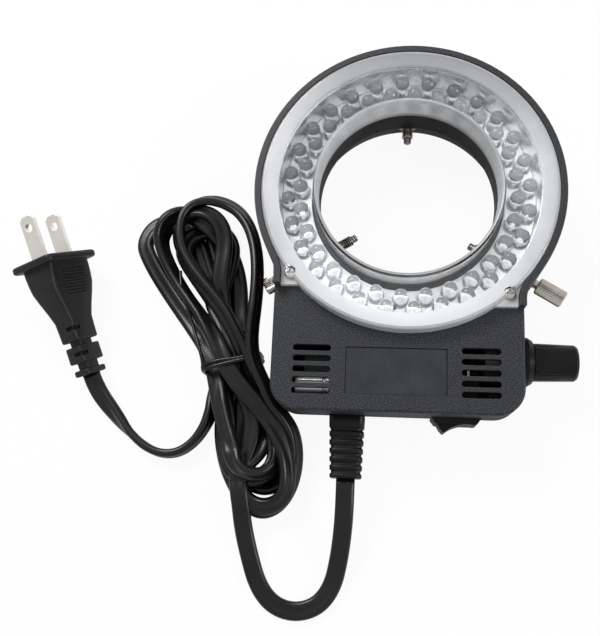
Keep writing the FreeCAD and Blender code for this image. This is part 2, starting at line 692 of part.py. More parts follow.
def switch_body():
    """Bezel outside the wall and body inside it. The rocker's room is a drum about the pin."""
    hx, hz = BEZEL_X / 2, BEZEL_Z / 2
    outer = Part.makePolygon([Vector(-hx, 0, -hz), Vector(hx, 0, -hz), Vector(hx, 0, hz), Vector(-hx, 0, hz),
                              Vector(-hx, 0, -hz)])
    sx, sz = hx - BEZEL_SLOPE, hz - 0.7
    inner = Part.makePolygon([Vector(-sx, -BEZEL_T, -sz), Vector(sx, -BEZEL_T, -sz), Vector(sx, -BEZEL_T, sz),
                              Vector(-sx, -BEZEL_T, sz), Vector(-sx, -BEZEL_T, -sz)])
    bezel = Part.makeLoft([outer, inner], True, True)
    body = block(-SWITCH_X_IN / 2, SWITCH_X_IN / 2, -0.1, SWITCH_DEPTH, -SWITCH_Z_IN / 2, SWITCH_Z_IN / 2)
    room_r = ROCKER_R + ROCKER_GAP
    half_w = ROCKER_W / 2 + ROCKER_GAP
    room = Part.makeCylinder(room_r, 2 * half_w, Vector(0, PIN_Y, -half_w), Vector(0, 0, 1))
    pin = Part.makeCylinder(ROCKER_PIN_R, SWITCH_Z_IN, Vector(0, PIN_Y, -SWITCH_Z_IN / 2), Vector(0, 0, 1))
    return bezel.fuse(body).removeSplitter().cut(room).fuse(pin).removeSplitter()


save("switch_body", at_switch(switch_body()))


def rocker():
    """Rocker about its pin, hollowed on top, tilted to the side it is pressed on."""
    drum = Part.makeCylinder(ROCKER_R, ROCKER_W, Vector(0, 0, -ROCKER_W / 2), Vector(0, 0, 1))
    corner = math.radians(ROCKER_CORNER)
    cx = ROCKER_R * math.sin(corner)
    cy = ROCKER_R * math.cos(corner)
    # the hollow is an arc through both corners, ROCKER_HOLLOW deep
    hollow_r = (cx ** 2 + ROCKER_HOLLOW ** 2) / (2 * ROCKER_HOLLOW)
    above = block(-FAR, FAR, -FAR, -cy, -FAR, FAR)
    hollow = Part.makeCylinder(hollow_r, 4 * ROCKER_W, Vector(0, -cy - hollow_r + ROCKER_HOLLOW, -2 * ROCKER_W),
                               Vector(0, 0, 1))
    below = block(-FAR, FAR, 2.4, FAR, -FAR, FAR)
    shape = drum.cut(above).cut(hollow).cut(below)
    shape = shape.cut(Part.makeCylinder(ROCKER_PIN_R + RUN, 4 * ROCKER_W, Vector(0, 0, -2 * ROCKER_W), Vector(0, 0, 1)))
    shape.rotate(Vector(0, 0, 0), Vector(0, 0, 1), ROCKER_TILT)
    shape.translate(Vector(0, PIN_Y, 0))
    return shape


save("rocker", at_switch(rocker()))


def switch_terminals():
    tags = []
    for x in (-4.2, 4.2):
        tags.append(block(x - 0.4, x + 0.4, SWITCH_DEPTH, SWITCH_DEPTH + 5.0, -2.2, 2.2))
    return Part.makeCompound(tags)


save("switch_terminals", at_switch(switch_terminals()))


# ---------------------------------------------------------------- driver board and what stands on it
board_top = BOARD_Z + BOARD_T


def driver_board():
    x0, x1, y0, y1 = DRIVER
    board = block(x0, x1, y0, y1, BOARD_Z, board_top).cut(disc(RING_R, 0, FAR))
    posts = [disc(POST_R, BACK_T, BOARD_Z, x, y) for x, y in ((x0 + 3, y1 - 3), (x1 - 3, y0 + 3), (x0 + 12, y0 + 3))]
    return board.fuse(posts).removeSplitter()


def capacitor():
    """Round can lying on the board, with the groove at its sealed end."""
    x0, x1 = CAP_X
    can = turned_x([(x0, 0), (x0, CAP_R - 0.4), (x0 + 0.4, CAP_R), (x1 - 2.4, CAP_R), (x1 - 1.9, CAP_R - 0.5),
                    (x1 - 1.4, CAP_R), (x1 - 0.3, CAP_R), (x1, CAP_R - 0.3), (x1, 0)])
    can.translate(Vector(0, CAP_Y, board_top + CAP_R))
    return can


save("driver_board", driver_board())
save("capacitor", capacitor())
for part_name, (x0, x1, y0, y1, tall) in (("transformer", TRANSFORMER), ("film_capacitor", FILM)):
    save(part_name, rounded_plate(x0, x1, y0, y1, board_top, board_top + tall, 0.9))


def wire(points, r=0.7):
    """Insulated wire through points, with ball-shaped corners."""
    pieces = []
    for a, b in zip(points, points[1:]):
        pieces.append(Part.makeCylinder(r, (b - a).Length, a, b - a))
        pieces.append(Part.makeSphere(r, b))
    return pieces[0].multiFuse(pieces[1:-1]).removeSplitter()


def led_wires():
    x, y = WIRE_HOLE
    low = TRAY_TOP - TRAY_T - 0.9
    pad_y = DRIVER[3] - 2.2
    pair = []
    for s in (-0.8, 0.8):
        pair.append(wire([Vector(x + s, y, TRAY_TOP - 0.2), Vector(x + s, y, low), Vector(x + s, pad_y, low),
                          Vector(x + s, pad_y, board_top)]))
    return Part.makeCompound(pair)


def pot_wires():
    low = KNOB_Z - POT_R - POT_TAG - 0.72
    pad_x = DRIVER[1] - 4.0
    lot = []
    for s in (-2.5, 0.0, 2.5):
        y = KNOB_Y + s
        lot.append(wire([Vector(BOX_RIGHT - SEAT_T - POT_L + 2.0, y, low), Vector(pad_x, y, low),
                         Vector(pad_x, y, BOARD_Z)]))
    return Part.makeCompound(lot)


def mains_wires():
    """One wire from the cord to the switch, one from the cord to the board, one from switch to board."""
    start = BOX_BOTTOM + SEAT_T + 1.4
    tag_y = BOX_BOTTOM + SWITCH_DEPTH + 5.7
    high = BOX_TOP - WALL - 1.2
    low = SWITCH_Z - 1.0
    under = BACK_T + 4.8
    side = TRANSFORMER[1] + 2.2
    pad_x = DRIVER[1] - 1.0
    live = wire([Vector(RELIEF_X + 1.5, start, RELIEF_Z + 0.6), Vector(RELIEF_X + 1.5, start + 1.9, RELIEF_Z + 0.6),
                 Vector(RELIEF_X + 1.5, start + 1.9, high), Vector(side, start + 1.9, high),
                 Vector(side + 1.0, tag_y, SWITCH_Z), Vector(SWITCH_X - 4.2, tag_y, SWITCH_Z)])
    x = RELIEF_X - 1.5
    over = board_top + 1.0
    neutral = wire([Vector(x, start, RELIEF_Z + 0.6), Vector(x, start + 2.6, over), Vector(x, start + 4.0, over),
                    Vector(x, start + 4.0, board_top)])
    switched = wire([Vector(SWITCH_X + 4.2, tag_y, low), Vector(SWITCH_X + 4.2, tag_y, under),
                     Vector(pad_x, tag_y, under), Vector(pad_x, tag_y, BOARD_Z)])
    return Part.makeCompound([live, neutral, switched])


save("led_wires", led_wires())
save("pot_wires", pot_wires())
save("mains_wires", mains_wires())


# ---------------------------------------------------------------- strain relief in the box's end
def relief_block(y0, y1, grow=0.0):
    """Rounded block from y0 to y1 (outwards from the wall), tapering towards the cord."""
    sections = []
    for y in (y0, y1):
        t = max(0.0, y / RELIEF_L)
        hw = (RELIEF_W + (RELIEF_END_W - RELIEF_W) * t) / 2 - grow
        hh = (RELIEF_H + (RELIEF_END_H - RELIEF_H) * t) / 2 - grow
        c = 1.6
        ring = [(-hw + c, -hh), (hw - c, -hh), (hw, -hh + c), (hw, hh - c), (hw - c, hh), (-hw + c, hh),
                (-hw, hh - c), (-hw, -hh + c)]
        ring.append(ring[0])
        sections.append(Part.makePolygon([Vector(a, -y, b) for a, b in ring]))
    return Part.makeLoft(sections, True, True)


def strain_relief():
    body = relief_block(0, RELIEF_L)
    for i in range(RELIEF_GROOVES):
        y = GROOVE_FIRST + i * GROOVE_PITCH
        groove = relief_block(y - GROOVE_W / 2, y + GROOVE_W / 2, -3).cut(
            relief_block(y - GROOVE_W / 2, y + GROOVE_W / 2, GROOVE_D))
        body = body.cut(groove)
    half_x = RELIEF_W / 2 - RELIEF_NECK
    half_z = RELIEF_H / 2 - RELIEF_NECK
    neck = block(-half_x, half_x, -0.1, SEAT_T + 0.1, -half_z, half_z)
    inner = block(-half_x - 0.9, half_x + 0.9, SEAT_T, SEAT_T + 2.0, -half_z - 0.9, half_z + 0.9)
    room = block(-CORD_W / 2, CORD_W / 2, SEAT_T - 0.5, SEAT_T + 3.0, -CORD_T / 2, CORD_T / 2)
    return body.fuse([neck, inner]).removeSplitter().cut(room)


relief = strain_relief()
relief.translate(Vector(RELIEF_X, BOX_BOTTOM, RELIEF_Z))
save("strain_relief", relief)


# ---------------------------------------------------------------- plug
plug_axis = Vector(math.cos(math.radians(PLUG_HEADING)), math.sin(math.radians(PLUG_HEADING)), 0)
rise = math.radians(PLUG_RISE)
plug_axis = plug_axis * math.cos(rise) + Vector(0, 0, math.sin(rise))
side = plug_axis.cross(Vector(0, 0, 1)).normalize()
up = side.cross(plug_axis).normalize()
roll = math.radians(PLUG_ROLL)
spacing = side * math.cos(roll) - up * math.sin(roll)
thick = side * math.sin(roll) + up * math.cos(roll)
plug_place = Placement(PLUG_AT, Rotation(spacing, thick, plug_axis, "ZXY"))


def cut_corner_section(w, h, z, c):
    """Rectangle with cut corners, square to the plug's own Z axis."""
    hw, hh = w / 2, h / 2
    ring = [(-hw + c, -hh), (hw - c, -hh), (hw, -hh + c), (hw, hh - c), (hw - c, hh), (-hw + c, hh),
            (-hw, hh - c), (-hw, -hh + c)]
    ring.append(ring[0])
    return Part.makePolygon([Vector(a, b, z) for a, b in ring])


def plug_loft(sections):
    return Part.makeLoft([cut_corner_section(w, h, -z, c) for z, w, h, c in sections], True, True)


def plug_body():
    """Flange, tapered grip with finger ribs on its wide faces, then the jointed relief."""
    edge = 0.5
    flange = plug_loft([(0, FLANGE_W - 2 * edge, FLANGE_H - 2 * edge, 2.0), (edge, FLANGE_W, FLANGE_H, 2.0),
                        (FLANGE_T, FLANGE_W, FLANGE_H, 2.0)])
    body = plug_loft(PLUG_BODY)
    grooves = []
    for i in range(RIB_COUNT):
        z = RIB_FIRST + i * RIB_PITCH
        half = 6.4 - 0.35 * max(0, i - 4)
        t = (z - PLUG_BODY[0][0]) / (PLUG_BODY[2][0] - PLUG_BODY[0][0])
        face = (PLUG_BODY[0][2] + (PLUG_BODY[2][2] - PLUG_BODY[0][2]) * t) / 2
        for s in (-1, 1):
            grooves.append(block(-half, half, s * face - 0.3, s * face + 0.3, -z - 0.3, -z + 0.3))
    body = body.cut(Part.makeCompound(grooves))
    parts = [body]
    for z0, z1, w, h in PLUG_NECKS:
        parts.append(block(-w / 2, w / 2, -h / 2, h / 2, -z1, -z0))
    for z0, z1, w, h in PLUG_BLOCKS:
        parts.append(plug_loft([(z0, w, h, 0.8), (z1, w - 0.6, h - 0.4, 0.8)]))
    shape = flange.fuse(parts).removeSplitter()
    for z in PLUG_WINDOWS:
        for s in (-1, 1):
            shape = shape.cut(block(-3.8, 3.8, s * 4.2 - 1.3, s * 4.2 + 1.3, -z - 0.7, -z + 0.7))
    for s in (-1, 1):
        x = s * BLADE_GAP / 2
        shape = shape.cut(block(x - BLADE_T / 2, x + BLADE_T / 2, -BLADE_W / 2, BLADE_W / 2, -BLADE_IN, 1))
    return shape


def plug_blades():
    blades = []
    for s in (-1, 1):
        x = s * BLADE_GAP / 2
        blade = block(x - BLADE_T / 2, x + BLADE_T / 2, -BLADE_W / 2, BLADE_W / 2, -BLADE_IN, BLADE_L)
        corner = 1.4
        for t in (-1, 1):
            y = t * BLADE_W / 2
            wedge = prism([Vector(x - 2, y, BLADE_L - corner), Vector(x - 2, y, BLADE_L),
                           Vector(x - 2, y - t * corner, BLADE_L)], 4, Vector(1, 0, 0))
            blade = blade.cut(wedge)
        hole = Part.makeCylinder(BLADE_HOLE_R, 4, Vector(x - 2, 0, BLADE_L - BLADE_HOLE_FROM_TIP), Vector(1, 0, 0))
        blades.append(blade.cut(hole))
    return Part.makeCompound(blades)


def placed(shape):
    out = shape.copy()
    out.Placement = plug_place.multiply(out.Placement)
    return out


save("plug_body", placed(plug_body()))
save("plug_blades", placed(plug_blades()))
plug_end = PLUG_AT - plug_axis * PLUG_END
print("plug end", [round(v, 1) for v in plug_end], "lowest", round(saved["plug_body"].BoundBox.ZMin, 2))


# ---------------------------------------------------------------- cord: route, tubes and hank
def rounded_path(points, name):
    """Straight runs joined by tangent arcs, each as large as its two runs allow."""
    edges = []
    start = points[0]
    radii = []
    for i in range(1, len(points) - 1):
        before = points[i] - points[i - 1]
        after = points[i + 1] - points[i]
        turn = before.getAngle(after)
        reach = 0.45 * min(before.Length, after.Length)
        radii.append(reach / math.tan(turn / 2))
        a = points[i] - Vector(before).normalize() * reach
        b = points[i] + Vector(after).normalize() * reach
        chord = (a + b) * 0.5 - points[i]
        middle = points[i] + Vector(chord).normalize() * (
            math.hypot(reach, radii[-1]) - radii[-1])
        edges.append(Part.LineSegment(start, a).toShape())
        edges.append(Part.Arc(a, middle, b).toShape())
        start = b
    edges.append(Part.LineSegment(start, points[-1]).toShape())
    wire_path = Part.Wire(edges)
    print(name, "length", round(wire_path.Length, 1), "radii", [round(r, 1) for r in radii])
    return wire_path


def cord_tube(points, name):
    """Flat cord: a stadium section that keeps its width level along the route."""
    path = rounded_path(points, name)
    direction = (points[1] - points[0]).normalize()
    across = direction.cross(Vector(0, 0, 1)).normalize()
    over = across.cross(direction).normalize()
    flat = (CORD_W - CORD_T) / 2
    r = CORD_T / 2
    p = points[0]
    corners = [p + across * flat + over * r, p + across * (flat + r), p + across * flat - over * r,
               p - across * flat - over * r, p - across * (flat + r), p - across * flat + over * r]
    section = Part.Wire([Part.Arc(corners[0], corners[1], corners[2]).toShape(),
                         Part.LineSegment(corners[2], corners[3]).toShape(),
                         Part.Arc(corners[3], corners[4], corners[5]).toShape(),
                         Part.LineSegment(corners[5], corners[0]).toShape()])
    sweep = Part.BRepOffsetAPI.MakePipeShell(path)
    sweep.setBiNormalMode(Vector(0, 0, 1))
    sweep.add(section)
    sweep.build()
    sweep.makeSolid()
    shape = sweep.shape()
    area = (CORD_W - CORD_T) * CORD_T + math.pi * r ** 2
    print(name, "volume", round(shape.Volume), "section x length", round(area * path.Length))
    return shape


relief_end = Vector(RELIEF_X, BOX_BOTTOM - RELIEF_L, RELIEF_Z)
LEAD = [relief_end, Vector(RELIEF_X, -104.2, RELIEF_Z), Vector(-19.2, -113.0, 9.6), Vector(-20.4, -122.2, 5.2),
        Vector(-22.4, -131.0, 2.2), Vector(-27.1, -137.4, CORD_LAY), Vector(-34.6, -139.8, CORD_LAY),
        Vector(-42.1, -137.8, CORD_LAY), Vector(-47.4, -132.0, CORD_LAY), Vector(-50.6, -122.0, CORD_LAY + 0.2),
        Vector(-53.2, -112.6, CORD_LAY + 0.9), Vector(-55.4, -104.3, CORD_LAY + 1.8)]
TAIL = [plug_end, plug_end - plug_axis * 6.0, Vector(-101.8, -75.4, CORD_LAY + 0.3), Vector(-96.4, -82.4, CORD_LAY),
        Vector(-89.4, -87.0, CORD_LAY), Vector(-81.4, -87.6, CORD_LAY), Vector(-74.2, -83.4, CORD_LAY),
        Vector(-69.6, -76.4, CORD_LAY + 0.5), Vector(-67.3, -68.9, CORD_LAY + 1.2)]
save("cord_lead", cord_tube(LEAD, "cord_lead"))
save("cord_tail", cord_tube(TAIL, "cord_tail"))

# The hank: two lobes of loops drawn together by a tie at the waist. The lobe beside the ring
# lies high enough for the left thumbscrew to be backed out underneath it.
HANK_H = 15.0
HANK_LOW_H = 10.0
HANK_EDGE = 2.6
TIE_T = 0.8
TIE_W = 2.0
WAIST = (Vector(-67.5, -60.5, 0), Vector(-48.6, -55.6, 0))
TOP_LOBE = [(-75.8, -48.5), (-85.5, -34.5), (-94.6, -21.0), (-96.6, -13.0), (-90.8, -4.6), (-82.0, 0.6),
            (-70.5, 4.6), (-60.5, 0.8), (-53.6, -9.0), (-50.6, -22.0), (-49.6, -36.0), (-48.8, -48.0)]
LOW_LOBE = [(-45.6, -66.0), (-41.6, -75.6), (-36.6, -81.0), (-34.2, -90.0), (-36.0, -99.0), (-40.4, -106.0),
            (-47.0, -109.6), (-53.6, -106.0), (-58.6, -98.0), (-63.4, -86.0), (-66.6, -74.0)]


def lobe(outline_points, height):
    ring = [Vector(x, y, 0) for x, y in outline_points]
    solid = Part.Face(Part.makePolygon(ring + [ring[0]])).extrude(Vector(0, 0, height))
    level = [e for e in solid.Edges if abs(e.CenterOfMass.z - height) < 1e-6]
    return solid.makeChamfer(HANK_EDGE, level)


def waist_ring(depth):
    """Upright frame round the waist, from depth inside the hank's surface outwards."""
    a, b = WAIST
    along = (b - a).normalize()
    across = Vector(0, 0, 1).cross(along)
    corner = a - along * 3 - across * (TIE_W / 2)
    length = (b - a).Length + 6
    big = Part.makeBox(length, TIE_W, HANK_H + 6, Vector(0, 0, -3))
    small = Part.makeBox(length - 6 - 2 * depth, TIE_W + 2, HANK_H - 2 * depth, Vector(3 + depth, -1, depth))
    frame = big.cut(small)
    frame.Placement = Placement(corner, Rotation(along, across, Vector(0, 0, 1), "XYZ"))
    return frame


def waist_points():
    return [(WAIST[0].x, WAIST[0].y)], [(WAIST[1].x, WAIST[1].y)]


def hank():
    left, right = waist_points()
    upper = lobe(left + TOP_LOBE + right, HANK_H)
    lower = lobe(right + LOW_LOBE + left, HANK_LOW_H)
    a, b = WAIST
    along = (b - a).normalize()
    across = Vector(0, 0, 1).cross(along)
    joint = prism([a - across * 4, b - across * 4, b + across * 4, a + across * 4], HANK_H, Vector(0, 0, 1))
    solid = upper.fuse([lower, joint]).removeSplitter()
    angle = THUMBS["left"][0]
    wide = THUMB_HEAD_R + 0.6
    far = THUMB_BACK_R + THUMB_LENGTH + 0.8
    path = radial(along_x(wide, SPOT_FLOOR, far), angle)
    room = radial(block(SPOT_FLOOR, far, -wide, wide, -THUMB_Z - 1, 0), angle)
    return solid.cut(path).cut(room).cut(waist_ring(TIE_T))


save("cord_hank", hank())


def twist_tie():
    """Flat tie round the hank's waist, flush with its surface."""
    a, b = WAIST
    along = (b - a).normalize()
    across = Vector(0, 0, 1).cross(along)
    band = Part.makeBox((b - a).Length, TIE_W, HANK_H)
    inside = Part.makeBox((b - a).Length - 2 * TIE_T, TIE_W + 2, HANK_H - 2 * TIE_T, Vector(TIE_T, -1, TIE_T))
    band = band.cut(inside)
    band.Placement = Placement(a - across * (TIE_W / 2), Rotation(along, across, Vector(0, 0, 1), "XYZ"))
    return band


save("twist_tie", twist_tie())
print("nodes", len(saved))
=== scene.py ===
# %% [markdown]
# # A ring light in cells
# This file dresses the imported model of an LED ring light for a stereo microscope: a ring with its
# dimmer box, three clamping screws, a flat mains cord tied in a hank, and a two-blade plug.
# The solids already have the right sizes, so they stay wherever their shape is right, and only
# get a finish. What is soft or rounded, such as the cord, is made here again.

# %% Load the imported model
import math

import bmesh
import bpy
import numpy as np
from mathutils import Matrix, Vector


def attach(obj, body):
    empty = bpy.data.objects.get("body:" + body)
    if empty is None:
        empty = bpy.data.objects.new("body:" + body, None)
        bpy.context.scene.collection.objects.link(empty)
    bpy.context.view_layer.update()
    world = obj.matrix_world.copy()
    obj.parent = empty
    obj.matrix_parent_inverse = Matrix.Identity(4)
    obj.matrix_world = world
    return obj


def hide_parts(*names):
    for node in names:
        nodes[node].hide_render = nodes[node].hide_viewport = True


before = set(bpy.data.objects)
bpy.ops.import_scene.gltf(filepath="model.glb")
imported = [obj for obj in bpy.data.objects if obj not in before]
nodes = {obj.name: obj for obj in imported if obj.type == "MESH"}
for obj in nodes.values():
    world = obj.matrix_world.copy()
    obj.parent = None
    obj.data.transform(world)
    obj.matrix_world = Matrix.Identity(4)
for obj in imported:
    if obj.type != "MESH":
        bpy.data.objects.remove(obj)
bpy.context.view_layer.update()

# %% [markdown]
# ## Heights and millimetres
# The object is measured in millimetres above its back face, and the model's origin lies 12 mm
# above that face, at the lower end of the clamping bore. One small helper turns such a place
# into the metres that Blender works in, so every number below can be read as on a drawing.

# %% From millimetres above the back face to the frame
MM = 0.001
BACK_TO_ORIGIN = 12.0
TABLE_Z = -BACK_TO_ORIGIN * MM


def place(x, y, z):
    return Vector((x, y, z - BACK_TO_ORIGIN)) * MM


def into_scene(name, data):
    """Gives a mesh, curve, lamp or camera its object, and puts that into the scene."""
    thing = bpy.data.objects.new(name, data)
    bpy.context.scene.collection.objects.link(thing)
    return thing


print("the table lies at", TABLE_Z)

# %% [markdown]
# ## Camera
# The object lies on its back, and is seen from above and a little from the front and the left
# of its middle. Angles would do to turn the camera, but it is easier to say what is right, up and
# back in the picture: three directions, which are the columns of a matrix.

# %% Camera
CAMERA_AT = (-0.00705, -0.10899, 0.27693)
PICTURE_RIGHT = (0.99459, 0.04423, -0.09401)
PICTURE_UP = (-0.02065, 0.97096, 0.23836)
PICTURE_BACK = (0.10183, -0.23513, 0.96662)
camera_data = bpy.data.cameras.new("camera")
camera_data.sensor_width = 36.0
camera_data.lens = 46.64
camera_data.clip_start = 0.01
camera_data.clip_end = 20.0
camera = into_scene("camera", camera_data)
turn = Matrix((PICTURE_RIGHT, PICTURE_UP, PICTURE_BACK)).transposed().to_4x4()
camera.matrix_world = Matrix.Translation(CAMERA_AT) @ turn
bpy.context.scene.camera = camera
print("camera", CAMERA_AT, "lens", camera_data.lens)

# %% [markdown]
# ## Node helpers
# A material is a small network of nodes. It could be clicked together by hand, but a few helpers
# make it as short to read as a recipe: `wire_up` makes a node with its values, `new_finish` starts
# a material with a Principled shader, and the others do sums and mix colours. A value that is the
# same all over the surface is typed straight into the shader's own socket.

# %% A node and a new finish
def feed(tree, socket, value):
    """Links another node's output to a socket, or types a plain value into it."""
    if isinstance(value, bpy.types.NodeSocket):
        tree.links.new(value, socket)
    else:
        socket.default_value = value


def wire_up(tree, kind, inputs=None, **settings):
    node = tree.nodes.new(kind)
    for key, value in settings.items():
        setattr(node, key, value)
    for name, value in (inputs or {}).items():
        feed(tree, node.inputs[name], value)
    return node


def opaque(value):
    return (*value, 1.0) if isinstance(value, tuple) else value


def new_finish(name, **values):
    material = bpy.data.materials.new(name)
    material.use_nodes = True
    shader = material.node_tree.nodes["Principled BSDF"]
    for key, value in values.items():
        shader.inputs[key.replace("_", " ")].default_value = opaque(value)
    return material, material.node_tree, shader



# %% Sums, masks and mixed colours
def arithmetic(tree, operation, first, second=0.0, third=0.0):
    node = wire_up(tree, "ShaderNodeMath", operation=operation)
    for socket, value in zip(node.inputs, (first, second, third)):
        feed(tree, socket, value)
    return node.outputs[0]


def times(tree, first, second):
    return arithmetic(tree, "MULTIPLY", first, second)


def rest_of(tree, mask):
    return arithmetic(tree, "SUBTRACT", 1.0, mask)


def between(tree, value, low, high, to_low=0.0, to_high=1.0):
    """Goes from to_low to to_high while the value goes from low to high."""
    node = wire_up(tree, "ShaderNodeMapRange", {"Value": value, "From Min": low, "From Max": high,
                                                "To Min": to_low, "To Max": to_high})
    return node.outputs[0]


def blend_colours(tree, mask, first, second):
    mix = wire_up(tree, "ShaderNodeMix", data_type="RGBA")
    for number, value in ((0, mask), (6, first), (7, second)):
        feed(tree, mix.inputs[number], opaque(value))
    return mix.outputs[2]


# %% Places on a piece
def own_place(tree):
    return wire_up(tree, "ShaderNodeTexCoord").outputs["Object"]


def axis_distance(tree):
    """The place's x, y and z, and how far it is from the ring's axis."""
    x, y, z = wire_up(tree, "ShaderNodeSeparateXYZ", {0: own_place(tree)}).outputs
    square = arithmetic(tree, "MULTIPLY_ADD", x, x, times(tree, y, y))
    return (x, y, z), arithmetic(tree, "SQRT", square)


def per_metre(tree, millimetres):
    """A texture's scale counts per metre, and a recipe gives the size of one grain in mm."""
    return arithmetic(tree, "DIVIDE", 1.0, times(tree, millimetres, MM))


# %% Groups, and a bump from a height
def new_group(name, inputs, outputs):
    group = bpy.data.node_groups.new(name, "ShaderNodeTree")
    for label, default in inputs:
        socket = group.interface.new_socket(label, in_out="INPUT", socket_type="NodeSocketFloat")
        socket.default_value = default
    for label, kind in outputs:
        group.interface.new_socket(label, in_out="OUTPUT", socket_type="NodeSocket" + kind)
    return group, group.nodes.new("NodeGroupInput"), group.nodes.new("NodeGroupOutput")


def use_group(tree, group, **values):
    node = tree.nodes.new("ShaderNodeGroup")
    node.node_tree = group
    for key, value in values.items():
        feed(tree, node.inputs[key.replace("_", " ")], value)
    return node


def bump_into(tree, shader, height, strength, distance, normal=None):
    values = {"Height": height, "Strength": strength, "Distance": distance}
    if normal is not None:
        values["Normal"] = normal
    tree.links.new(wire_up(tree, "ShaderNodeBump", values).outputs[0], shader.inputs["Normal"])


# %% [markdown]
# ## Shared effects
# Four things come back on many pieces. *Mould grain* is the fine texture of spark-eroded
# moulds. *Soft edge* rounds a solid's sharp edges in the light and tells where they are: on the
# plastics it makes them brighter, partly as handling wear and partly as a painted highlight, and on
# the metals it puts painted shade along them. *Fine scratches* are the hairlines on plated metal.
# *Handling* is the slow change in gloss that every touched surface has, with a little dust on what
# faces up.
# Each could be built anew in every material. As a node group it is built once, and used with
# other numbers.

# %% Mould grain
grain, grain_in, grain_out = new_group("mould_grain", [("Grain", 0.4), ("Fleck Share", 0.2)],
                                       [("Height", "Float"), ("Fleck", "Float")])
spot = own_place(grain)
scale = per_metre(grain, grain_in.outputs["Grain"])
fine = wire_up(grain, "ShaderNodeTexNoise", {"Vector": spot, "Scale": scale, "Detail": 2.0, "Roughness": 0.6})
pits = wire_up(grain, "ShaderNodeTexVoronoi", {"Vector": spot, "Scale": scale})
height = arithmetic(grain, "ADD", fine.outputs[0], times(grain, pits.outputs[0], 0.5))
grain.links.new(height, grain_out.inputs["Height"])
speckle = wire_up(grain, "ShaderNodeTexNoise", {"Vector": spot, "Scale": times(grain, scale, 1.15),
                                                "Detail": 3.0, "Roughness": 0.7})
fleck_from = arithmetic(grain, "SUBTRACT", 0.70, times(grain, grain_in.outputs["Fleck Share"], 0.4))
fleck_full = arithmetic(grain, "ADD", fleck_from, 0.10)
grain.links.new(between(grain, speckle.outputs[0], fleck_from, fleck_full), grain_out.inputs["Fleck"])
print(grain.name, "has", len(grain.nodes), "nodes")

# %% Soft edge
edges, edges_in, edges_out = new_group("soft_edge", [("Radius", 0.3)], [("Normal", "Vector"), ("Edge", "Float")])
rounding = wire_up(edges, "ShaderNodeBevel", {"Radius": times(edges, edges_in.outputs["Radius"], MM)}, samples=6)
facing = wire_up(edges, "ShaderNodeNewGeometry").outputs["Normal"]
same = wire_up(edges, "ShaderNodeVectorMath", {0: rounding.outputs[0], 1: facing}, operation="DOT_PRODUCT")
edges.links.new(rounding.outputs[0], edges_out.inputs["Normal"])
edges.links.new(between(edges, same.outputs["Value"], 0.995, 0.90), edges_out.inputs["Edge"])
print(edges.name, "has", len(edges.nodes), "nodes")

# %% Fine scratches
hairlines, hairlines_in, hairlines_out = new_group("fine_scratches", [("Size", 2.0)],
                                                   [("Height", "Float"), ("Dullness", "Float")])
drawn_out = wire_up(hairlines, "ShaderNodeVectorMath", {0: own_place(hairlines), 1: (1.0, 9.0, 3.0)},
                    operation="MULTIPLY")
lines = wire_up(hairlines, "ShaderNodeTexNoise", {"Vector": drawn_out.outputs[0], "Detail": 4.0,
                                                  "Scale": per_metre(hairlines, hairlines_in.outputs["Size"])})
hairlines.links.new(lines.outputs[0], hairlines_out.inputs["Height"])
hairlines.links.new(between(hairlines, lines.outputs[0], 0.35, 0.75), hairlines_out.inputs["Dullness"])
print(hairlines.name, "has", len(hairlines.nodes), "nodes")

# %% Handling
handling, handling_in, handling_out = new_group("handling", [("Patch", 12.0)], [("Gloss", "Float"), ("Dust", "Float")])
spot = own_place(handling)
patches = wire_up(handling, "ShaderNodeTexNoise", {"Vector": spot, "Detail": 3.0,
                                                   "Scale": per_metre(handling, handling_in.outputs["Patch"])})
handling.links.new(between(handling, patches.outputs[0], 0.3, 0.7), handling_out.inputs["Gloss"])
facing = wire_up(handling, "ShaderNodeNewGeometry").outputs["Normal"]
upward = wire_up(handling, "ShaderNodeSeparateXYZ", {0: facing}).outputs[2]
specks = wire_up(handling, "ShaderNodeTexNoise", {"Vector": spot, "Scale": 2600.0, "Detail": 2.0})
few = between(handling, specks.outputs[0], 0.66, 0.74)
handling.links.new(times(handling, few, between(handling, upward, 0.3, 1.0)), handling_out.inputs["Dust"])
print(handling.name, "has", len(handling.nodes), "nodes")

# %% [markdown]
# ## The cord
# The mains cord is one flat twin cord, 6.2 mm wide and 3.2 mm thick: two insulated wires side by
# side with a shallow groove between them. It leaves the box through the strain relief, bends
# down to the table, runs into the hank, goes round it and comes out again towards the plug.
# Separate pieces for lead and hank would show where they meet, so a cord of one length is drawn
# as one smooth curve. A NURBS spline of order 3 is such a curve: its control points pull it
# without kinks. The hank's turns are simply more of its points.

# %% The cord's measures and its route
CORD_W, CORD_T = 6.2, 3.2
